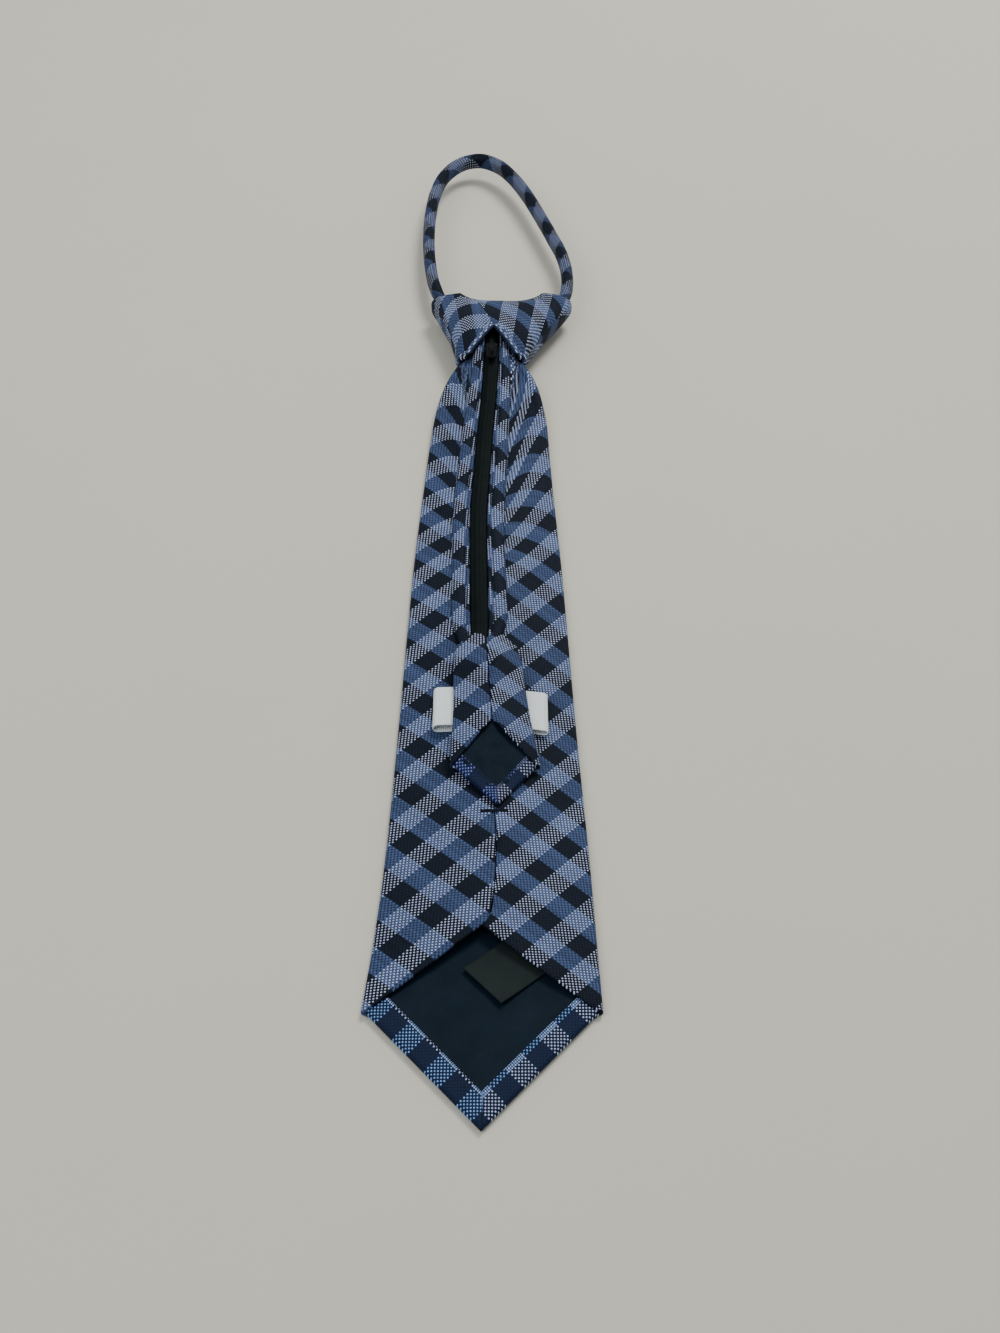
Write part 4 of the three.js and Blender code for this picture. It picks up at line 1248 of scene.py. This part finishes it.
def loop_cloth(material):
    """Folded neck band bent into a long loop, with the fold's edge as a groove along its inner side."""
    steps = 260
    sides = 28
    course = []
    for row in LOOP_COURSE:
        x = row["held"] * KNOT_WIDTH + row["across"] * LOOP_WIDTH
        course.append(Vector((x, LOOP_START + row["along"] * LOOP_LENGTH, LOOP_HEIGHT)))
    line, length = even_curve(course, steps)
    rings = []
    uvs = []
    for step, point in enumerate(line):
        tangent = (line[min(step + 1, steps)] - line[max(step - 1, 0)]).normalized()
        across = Vector((-tangent.y, tangent.x, 0)).normalized()
        travelled = length * step / steps
        squares = smooth_value(LOOP_SQUARES, "passed", travelled)
        freed = smoothstep(min(travelled, length - travelled), LOOP_SQUEEZE_FROM, LOOP_SQUEEZE_TO)
        size = lerp(LOOP_SQUEEZE, 1, freed)
        ring = []
        fabric = []
        for side in range(sides):
            angle = 2 * math.pi * side / sides
            out = size * round_power(math.cos(angle), LOOP_POWER) * LOOP_BAND_WIDTH / 2
            up = size * round_power(math.sin(angle), LOOP_POWER) * LOOP_BAND_HEIGHT / 2
            near = math.remainder(angle - LOOP_GROOVE_ANGLE, 2 * math.pi)
            groove = LOOP_GROOVE_DEPTH * bump(near, LOOP_GROOVE_WIDTH)
            pull = 1 - groove + ripple("loop", travelled, angle * 4)
            ring.append(tuple(point + across * (out * pull) + Vector((0, 0, up * pull))))
            around = near / (2 * math.pi) * LOOP_GIRTH * LOOP_ACROSS
            fabric.append((around - squares, around + squares))
        rings.append(ring)
        uvs.append(fabric)
    return tube_piece("neck_loop_cloth", [(rings, uvs)], material)


# Bar tack


def seam_height(x, y):
    """Height of the blade cloth's outer side near its seam."""
    state = blade_state(y)
    reach = state["half"] - state["edge"] / 2
    offset = x - state["middle"] - seam_shift(BLADE_FORM, 1, y)
    side = -1 if offset < 0 else 1
    share = side * offset / (reach - side * seam_shift(BLADE_FORM, side, y))
    place = form_point(BLADE_FORM, ("flap", side, clamp(share, 0, 1)), y)
    return state["lift"] + place[1]


def bar_tack(material):
    """Short stitched bar across the seam, of slightly wavy threads laid side by side."""
    steps = 40
    sides = 6
    radius = TACK_THREAD / 2
    middle = blade_state(TACK_Y)["middle"] + seam_shift(BLADE_FORM, 1, TACK_Y)
    tubes = []
    for thread in range(TACK_THREADS):
        rings = []
        uvs = []
        for step in range(steps + 1):
            x = middle + TACK_WIDTH * (step / steps - 0.5)
            sway = TACK_SWAY * math.sin(TACK_SWAY_TURN * x + thread)
            y = TACK_Y + TACK_HEIGHT * ((thread + 0.5) / TACK_THREADS - 0.5) + sway
            top = seam_height(x, y) + TACK_THREAD * TACK_RISE
            angles = [2 * math.pi * side / sides for side in range(sides)]
            rings.append([(x, y + radius * math.cos(a), top + radius * math.sin(a)) for a in angles])
            uvs.append([(x, thread + side / sides) for side in range(sides)])
        tubes.append((rings, uvs))
    return tube_piece("seam_bar_tack", tubes, material)


# Materials


class Shader:
    """Node tree of one material, with short calls for the nodes that it needs."""

    def __init__(self, name, **values):
        self.material = bpy.data.materials.new(name)
        self.material.use_nodes = True
        self.tree = self.material.node_tree
        self.tree.nodes.clear()
        self.surface = self.add("ShaderNodeBsdfPrincipled")
        self.add("ShaderNodeOutputMaterial", Surface=self.surface.outputs["BSDF"])
        for socket, value in values.items():
            self.surface.inputs[socket.replace("_", " ")].default_value = value

    def put(self, socket, value):
        """Links a node's output to a socket, or sets the socket to a plain value."""
        if hasattr(value, "is_output"):
            self.tree.links.new(value, socket)
        else:
            socket.default_value = value

    def add(self, kind, **inputs):
        """New node with values or links on the named inputs."""
        node = self.tree.nodes.new(kind)
        for name, value in inputs.items():
            self.put(node.inputs[name], value)
        return node

    def math(self, operation, *values):
        node = self.add("ShaderNodeMath")
        node.operation = operation
        for socket, value in zip(node.inputs, values):
            self.put(socket, value)
        return node.outputs[0]

    def times(self, first, *others):
        for value in others:
            first = self.math("MULTIPLY", first, value)
        return first

    def plus(self, first, *others):
        for value in others:
            first = self.math("ADD", first, value)
        return first

    def span(self, value, low, high):
        """Turns a value from 0 to 1 into one from low to high."""
        return self.math("MULTIPLY_ADD", value, high - low, low)

    def wave(self, value, length):
        return self.math("SINE", self.times(value, 2 * math.pi / length))

    def mix(self, factor, first, second, blend="MIX"):
        node = self.add("ShaderNodeMix")
        node.data_type = "RGBA"
        node.blend_type = blend
        self.put(node.inputs["Factor"], factor)
        self.put(node.inputs["A"], first)
        self.put(node.inputs["B"], second)
        return node.outputs["Result"]

    def vector(self, x, y, z=0.0):
        return self.add("ShaderNodeCombineXYZ", X=x, Y=y, Z=z).outputs["Vector"]

    def shaded(self, colour, value):
        """Colour made darker or lighter by a value around 1."""
        return self.mix(1.0, colour, self.vector(value, value, value), "MULTIPLY")

    def fabric_place(self):
        """The two fabric coordinates of the surface."""
        source = self.add("ShaderNodeUVMap")
        source.uv_map = "fabric"
        parts = self.add("ShaderNodeSeparateXYZ", Vector=source.outputs["UV"])
        return parts.outputs["X"], parts.outputs["Y"]

    def noise(self, scale, low=0.0, high=1.0, detail=3.0):
        """Soft noise over the object, from low to high."""
        place = self.add("ShaderNodeTexCoord").outputs["Object"]
        cloud = self.add("ShaderNodeTexNoise", Scale=scale, Detail=detail, Vector=place).outputs[0]
        return cloud if (low, high) == (0.0, 1.0) else self.span(cloud, low, high)

    def finish(self, colour, roughness, height=None, strength=0.0, distance=0.0):
        """Sets colour, roughness and, where a height is given, relief of the surface."""
        self.put(self.surface.inputs["Base Color"], colour)
        self.put(self.surface.inputs["Roughness"], roughness)
        if height is not None:
            relief = self.add("ShaderNodeBump", Strength=strength, Distance=distance, Height=height)
            self.put(self.surface.inputs["Normal"], relief.outputs["Normal"])
        return self.material


def srgb(red, green, blue):
    """Linear colour, with alpha, from eight-bit sRGB values."""
    def linear(value):
        share = value / 255
        return share / 12.92 if share <= 0.04045 else ((share + 0.055) / 1.055) ** 2.4

    return linear(red), linear(green), linear(blue), 1


THREAD_NAVY = srgb(20, 32, 54)
THREAD_WHITE = srgb(182, 193, 226)
THREAD_BLACK = srgb(13, 21, 31)
THREAD_BLUE = srgb(70, 88, 126)
# The blade hems' blue dots are brighter than the thread's own blue, as painted sheen, on a dark ground colour
HEM_SHEEN_BLUE = srgb(124, 172, 232)
HEM_GROUND = srgb(27, 42, 78)
# The tail's hems: white darkened to grey as painted shade, and blue dots brighter than the thread's own as
# painted sheen
HEM_SHEEN_PERIWINKLE = srgb(112, 124, 196)
HEM_SHADED_GREY = srgb(172, 180, 198)
# The neck loop's threads, darkened as painted shade for the shade that the loop lies in
LOOP_SHADED_WHITE = srgb(150, 157, 178)
LOOP_SHADED_BLUE = srgb(58, 72, 106)

# How much of a block the dot of the first system's thread covers: gain and cut of its round crown
DOT_GAIN = 3.0
DOT_CUT = 0.8

# A quarter period, with a hair more so that a band's edge never falls on a block's. An even number that
# keeps the sum of two blocks above 0. How dark and how light single threads get.
BAND_QUARTER = 0.2501
EVEN_SHIFT = 2000.0
THREAD_TINTS = (0.82, 1.18)


def check_material(name, white, blue, ground=None):
    """Woven check: dots of one system of threads on the other, or on a ground colour of its own."""
    shader = Shader(name, Sheen_Weight=0.02, Sheen_Roughness=0.4, Specular_IOR_Level=0.08)
    i, j = shader.fabric_place()
    cells = []
    threads = []
    crowns = []
    for place, light, dark, seed in ((i, white, THREAD_NAVY, 0.0), (j, blue, THREAD_BLACK, 7.0)):
        block = shader.times(place, BLOCKS_PER_PERIOD)
        cell = shader.math("FLOOR", block)
        # The darker half of a system's threads lies a quarter of a period to either side of a whole number
        shifted = shader.math("MULTIPLY_ADD", cell, 1 / BLOCKS_PER_PERIOD, BAND_QUARTER)
        in_dark_band = shader.math("LESS_THAN", shader.math("FRACT", shifted), 0.5)
        scatter = shader.add("ShaderNodeTexWhiteNoise", Vector=shader.vector(cell, seed)).outputs["Value"]
        tint = shader.span(scatter, *THREAD_TINTS)
        cells.append(cell)
        threads.append(shader.shaded(shader.mix(in_dark_band, light, dark), tint))
        crowns.append(shader.math("SINE", shader.times(shader.math("FRACT", block), math.pi)))
    first_thread, second_thread = threads
    crown = shader.times(*crowns)
    under = shader.math("MODULO", shader.plus(*cells, EVEN_SHIFT), 2.0)
    over = shader.math("SUBTRACT", 1.0, under)
    dot = shader.math("MULTIPLY_ADD", crown, DOT_GAIN, -DOT_CUT)
    round_dot = shader.math("MINIMUM", shader.math("MAXIMUM", dot, 0.0), 1.0)
    if ground:
        second_thread = shader.mix(shader.times(under, round_dot), ground, second_thread)
    woven = shader.mix(shader.times(over, round_dot), second_thread, first_thread)
    # Painted shade: the colour darkens where the blocks' crowns fall off, in the hollows between the threads.
    # The two noises add random tone.
    painted_gap_shade = shader.math("MINIMUM", shader.math("MULTIPLY_ADD", crown, 2.0, 0.3), 1.0)
    shade = shader.times(painted_gap_shade, shader.noise(45.0, 0.84, 1.16), shader.noise(2600.0, 0.85, 1.15, 2.0))
    fibres = shader.times(shader.noise(2600.0), 0.5)
    roughness = shader.noise(600.0, 0.5, 0.7)
    return shader.finish(shader.shaded(woven, shade), roughness, shader.plus(crown, fibres), 0.5, 0.0002)


def satin_material(name, colour, light, wale, roughness):
    """Smooth dark satin with a fine twill line."""
    shader = Shader(name, Specular_IOR_Level=0.03)
    x, y = shader.fabric_place()
    line = shader.wave(shader.plus(x, shader.times(y, 0.6)), wale)
    # Painted shade: the twill's ridges are coloured lighter and its hollows darker, following the relief. The
    # noise adds random tone.
    shade = shader.plus(shader.noise(90.0, 0.0, 0.7), shader.times(line, 0.12))
    relief = shader.plus(line, shader.noise(900.0))
    dullness = shader.noise(300.0, roughness - 0.08, roughness + 0.1)
    return shader.finish(shader.mix(shade, colour, light), dullness, relief, 0.3, 0.00008)


def ribbon_material():
    """White grosgrain ribbon with ribs across its width."""
    shader = Shader("ribbed_ribbon", Specular_IOR_Level=0.3, Sheen_Weight=0.1)
    x, y = shader.fabric_place()
    rib = shader.wave(x, 0.9)
    # Painted shade: the ribs' hollows are coloured darker and their crests lighter, following the relief. The
    # noise adds random tone.
    shade = shader.plus(shader.noise(70.0, 0.0, 0.5), shader.times(rib, -0.16))
    colour = shader.mix(shade, srgb(246, 252, 251), srgb(206, 213, 214))
    relief = shader.plus(rib, shader.times(shader.wave(y, 0.32), 0.2))
    return shader.finish(colour, shader.noise(500.0, 0.5, 0.7), relief, 0.5, 0.00012)


def zipper_material():
    """Black zipper tape and teeth, with a faint weave."""
    shader = Shader("zipper_black", Specular_IOR_Level=0.05)
    x, y = shader.fabric_place()
    weave = shader.times(shader.wave(x, 0.45), shader.wave(y, 0.6))
    # Painted shade: the weave's hollows are coloured darker and its crests lighter, following the relief. The
    # noise adds random tone.
    shade = shader.plus(shader.noise(120.0, 0.0, 0.6), shader.times(weave, 0.15))
    colour = shader.mix(shade, srgb(7, 14, 14), srgb(23, 32, 33))
    return shader.finish(colour, shader.noise(400.0, 0.42, 0.62), weave, 0.35, 0.0001)


def slider_material():
    """Black enamel, worn a little lighter in spots."""
    shader = Shader("slider_enamel", Specular_IOR_Level=0.05, Coat_Weight=0.08, Coat_Roughness=0.1)
    colour = shader.mix(shader.noise(500.0), srgb(5, 7, 7), srgb(14, 16, 17))
    return shader.finish(colour, shader.noise(900.0, 0.3, 0.5), shader.noise(1500.0), 0.12, 0.00005)


def thread_material():
    """Dark twisted thread."""
    shader = Shader("dark_thread", Specular_IOR_Level=0.1)
    twist = shader.wave(shader.fabric_place()[0], 0.5)
    # Painted shade: the twist's ridges are coloured lighter and its hollows darker, following the relief
    colour = shader.mix(shader.span(twist, 0.2, 0.5), srgb(10, 14, 24), srgb(34, 42, 62))
    return shader.finish(colour, 0.6, twist, 0.4, 0.00008)


def floor_material():
    shader = Shader("pale_floor", Specular_IOR_Level=0.2)
    shade = shader.noise(9.0, 0.3, 0.7, 4.0)
    return shader.finish(shader.mix(shade, srgb(206, 203, 187), srgb(215, 212, 198)), 0.85)


# Pieces of the tie


def flat_area(form):
    """Flat area of a folded form's cloth in square millimetres, from its front panel and two flaps."""
    steps = 200
    corner = form["corner"]
    step = (form["end"] - corner) / steps
    width = sum(2 * form["state"](corner + (k + 0.5) * step)["half"] * step for k in range(steps))
    half = form["state"](corner)["half"]
    return 2 * width + half * (corner - form["tip"]) - half * (form["mouth"] - corner)


def dress(piece, node):
    """Hides the imported solid of the piece's node."""
    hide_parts(node)


def dress_sheet(piece, node, slot, flat, **facts):
    """Hides the imported solid of a sheet piece's node, as dress() does. Its flat size, in millimetres, is
    not used.
    """
    dress(piece, node)


woven_check = check_material("woven_check", THREAD_WHITE, THREAD_BLUE)
# Check of the neck loop: a copy of the check with painted shade, its threads darker
shaded_loop_check = check_material("shaded_loop_check", LOOP_SHADED_WHITE, LOOP_SHADED_BLUE)
# Check of the blade's hems, with painted sheen on its blue dots
sheen_hem_check = check_material("sheen_hem_check", THREAD_WHITE, HEM_SHEEN_BLUE, HEM_GROUND)
# Check of the tail's hems: a darker copy of the hem check, with painted shade on its white and painted sheen
# on its blue dots
tail_hem_check_shade_and_sheen = check_material("tail_hem_check_shade_and_sheen", HEM_SHADED_GREY, HEM_SHEEN_PERIWINKLE, HEM_GROUND)
lining_satin = satin_material("navy_satin", srgb(10, 22, 32), srgb(24, 38, 51), 0.5, 0.42)
label_satin = satin_material("black_satin", srgb(27, 34, 35), srgb(43, 52, 50), 0.35, 0.3)
ribbed_ribbon = ribbon_material()
zipper_black = zipper_material()
slider_enamel = slider_material()
dark_thread = thread_material()


def form_pieces(form, hem_material):
    """Cloth, hem and lining of one folded form."""
    name = form["name"]
    cloth = folded_cloth(form, f"{name}_cloth", woven_check)
    facts = {"held": "folded", "area": flat_area(form) / 1e6, **form["facts"]}
    dress_sheet(cloth, f"{name}_shell", "check_cloth", form["flat"], **facts)
    hem = hem_cloth(form, f"{name}_hem_cloth", hem_material)
    dress_sheet(hem, f"{name}_hem", "check_cloth", form["hem_flat"], held="folded", rests_on=f"{name}_cloth")
    lining = lining_cloth(form, f"{name}_lining_cloth", lining_satin)
    flat = form["lining_flat"]
    dress_sheet(lining, f"{name}_lining", "lining_satin", flat, held="laid", rests_on=f"{name}_cloth")


def label_and_tack():
    label = label_cloth(label_satin)
    flat = (LABEL_WIDTH, LABEL_LENGTH)
    dress_sheet(label, "care_label", "label_satin", flat, held="laid", rests_on="blade_lining_cloth")
    bar_tack(dark_thread)


def keeper_piece():
    ribbon = keeper_cloth(ribbed_ribbon)
    flat = (KEEPER_RIBBON, 2 * KEEPER_WIDTH)
    dress_sheet(ribbon, "keeper_loop", "keeper_ribbon", flat, held="folded", rests_on="blade_cloth")


def zipper_pieces():
    for side, word in SIDE_NAMES.items():
        band = band_cloth(side, f"zip_band_cloth_{word}", woven_check)
        dress(band, f"zip_band_{word}")
    dress(zipper_strip(zipper_black), "zipper_tape")
    slider = bpy.data.objects["zipper_slider"]
    slider.data.materials.clear()
    slider.data.materials.append(slider_enamel)


def knot_pieces():
    """The knot's wrap and lobes; share is a piece's flat width as a share of the knot's width."""
    pieces = (
        ("front", "knot_wrap_cloth", front_range, 110, "knot_front", 1.05),
        ("left", "knot_lobe_cloth_left", left_lobe_range, 40, "knot_lobe_left", 0.35),
        ("right", "knot_lobe_cloth_right", right_lobe_range, 48, "knot_lobe_right", 0.55),
    )
    for kind, name, angle_range, columns, node, share in pieces:
        piece = knot_cloth(kind, name, angle_range, columns, woven_check)
        flat = (share * KNOT_WIDTH, KNOT_LENGTH)
        dress_sheet(piece, node, "check_cloth", flat, held="folded", rests_on="blade_cloth")


def loop_piece():
    loop = loop_cloth(shaded_loop_check)
    dress(loop, "neck_loop")


# Camera, floor and light


def camera():
    data = bpy.data.cameras.new("camera")
    data.lens = CAMERA_LENS
    data.sensor_width = CAMERA_SENSOR
    view = add_object("camera", data)
    view.location = CAMERA_PLACE
    view.rotation_euler = (math.radians(90 - CAMERA_DOWN), 0, 0)
    bpy.context.scene.camera = view


def floor():
    low = cad_box[0][2] - FLOOR_DROP
    half = FLOOR_SIZE / 2
    mesh = bpy.data.meshes.new("floor")
    corners = [(-half, -half, low), (half, -half, low), (half, half, low), (-half, half, low)]
    mesh.from_pydata(corners, [], [(0, 1, 2, 3)])
    mesh.materials.append(floor_material())
    add_object("floor", mesh)


def area_light(name, place, size, power, colour):
    """Soft round lamp that faces the tie, with its power in watts."""
    data = bpy.data.lights.new(name, "AREA")
    data.shape = "DISK"
    data.size = size
    data.energy = power
    data.color = colour
    light = add_object(name, data)
    light.location = place
    light.rotation_euler = (Vector(place) - Vector(LIGHT_TARGET)).to_track_quat("Z", "Y").to_euler()


def lights():
    area_light("key", (0.55, 1.25, 1.5), size=0.7, power=22, colour=(1.0, 0.985, 0.96))
    area_light("fill", (-0.9, -0.5, 1.3), size=1.4, power=9, colour=(0.95, 0.975, 1.0))
    world = bpy.data.worlds.new("soft_room")
    world.use_nodes = True
    background = world.node_tree.nodes["Background"]
    background.inputs["Color"].default_value = ROOM_COLOUR
    background.inputs["Strength"].default_value = ROOM_STRENGTH
    bpy.context.scene.world = world


form_pieces(BLADE_FORM, sheen_hem_check)
label_and_tack()
keeper_piece()
form_pieces(TAIL_FORM, tail_hem_check_shade_and_sheen)
zipper_pieces()
knot_pieces()
loop_piece()
camera()
floor()
lights()
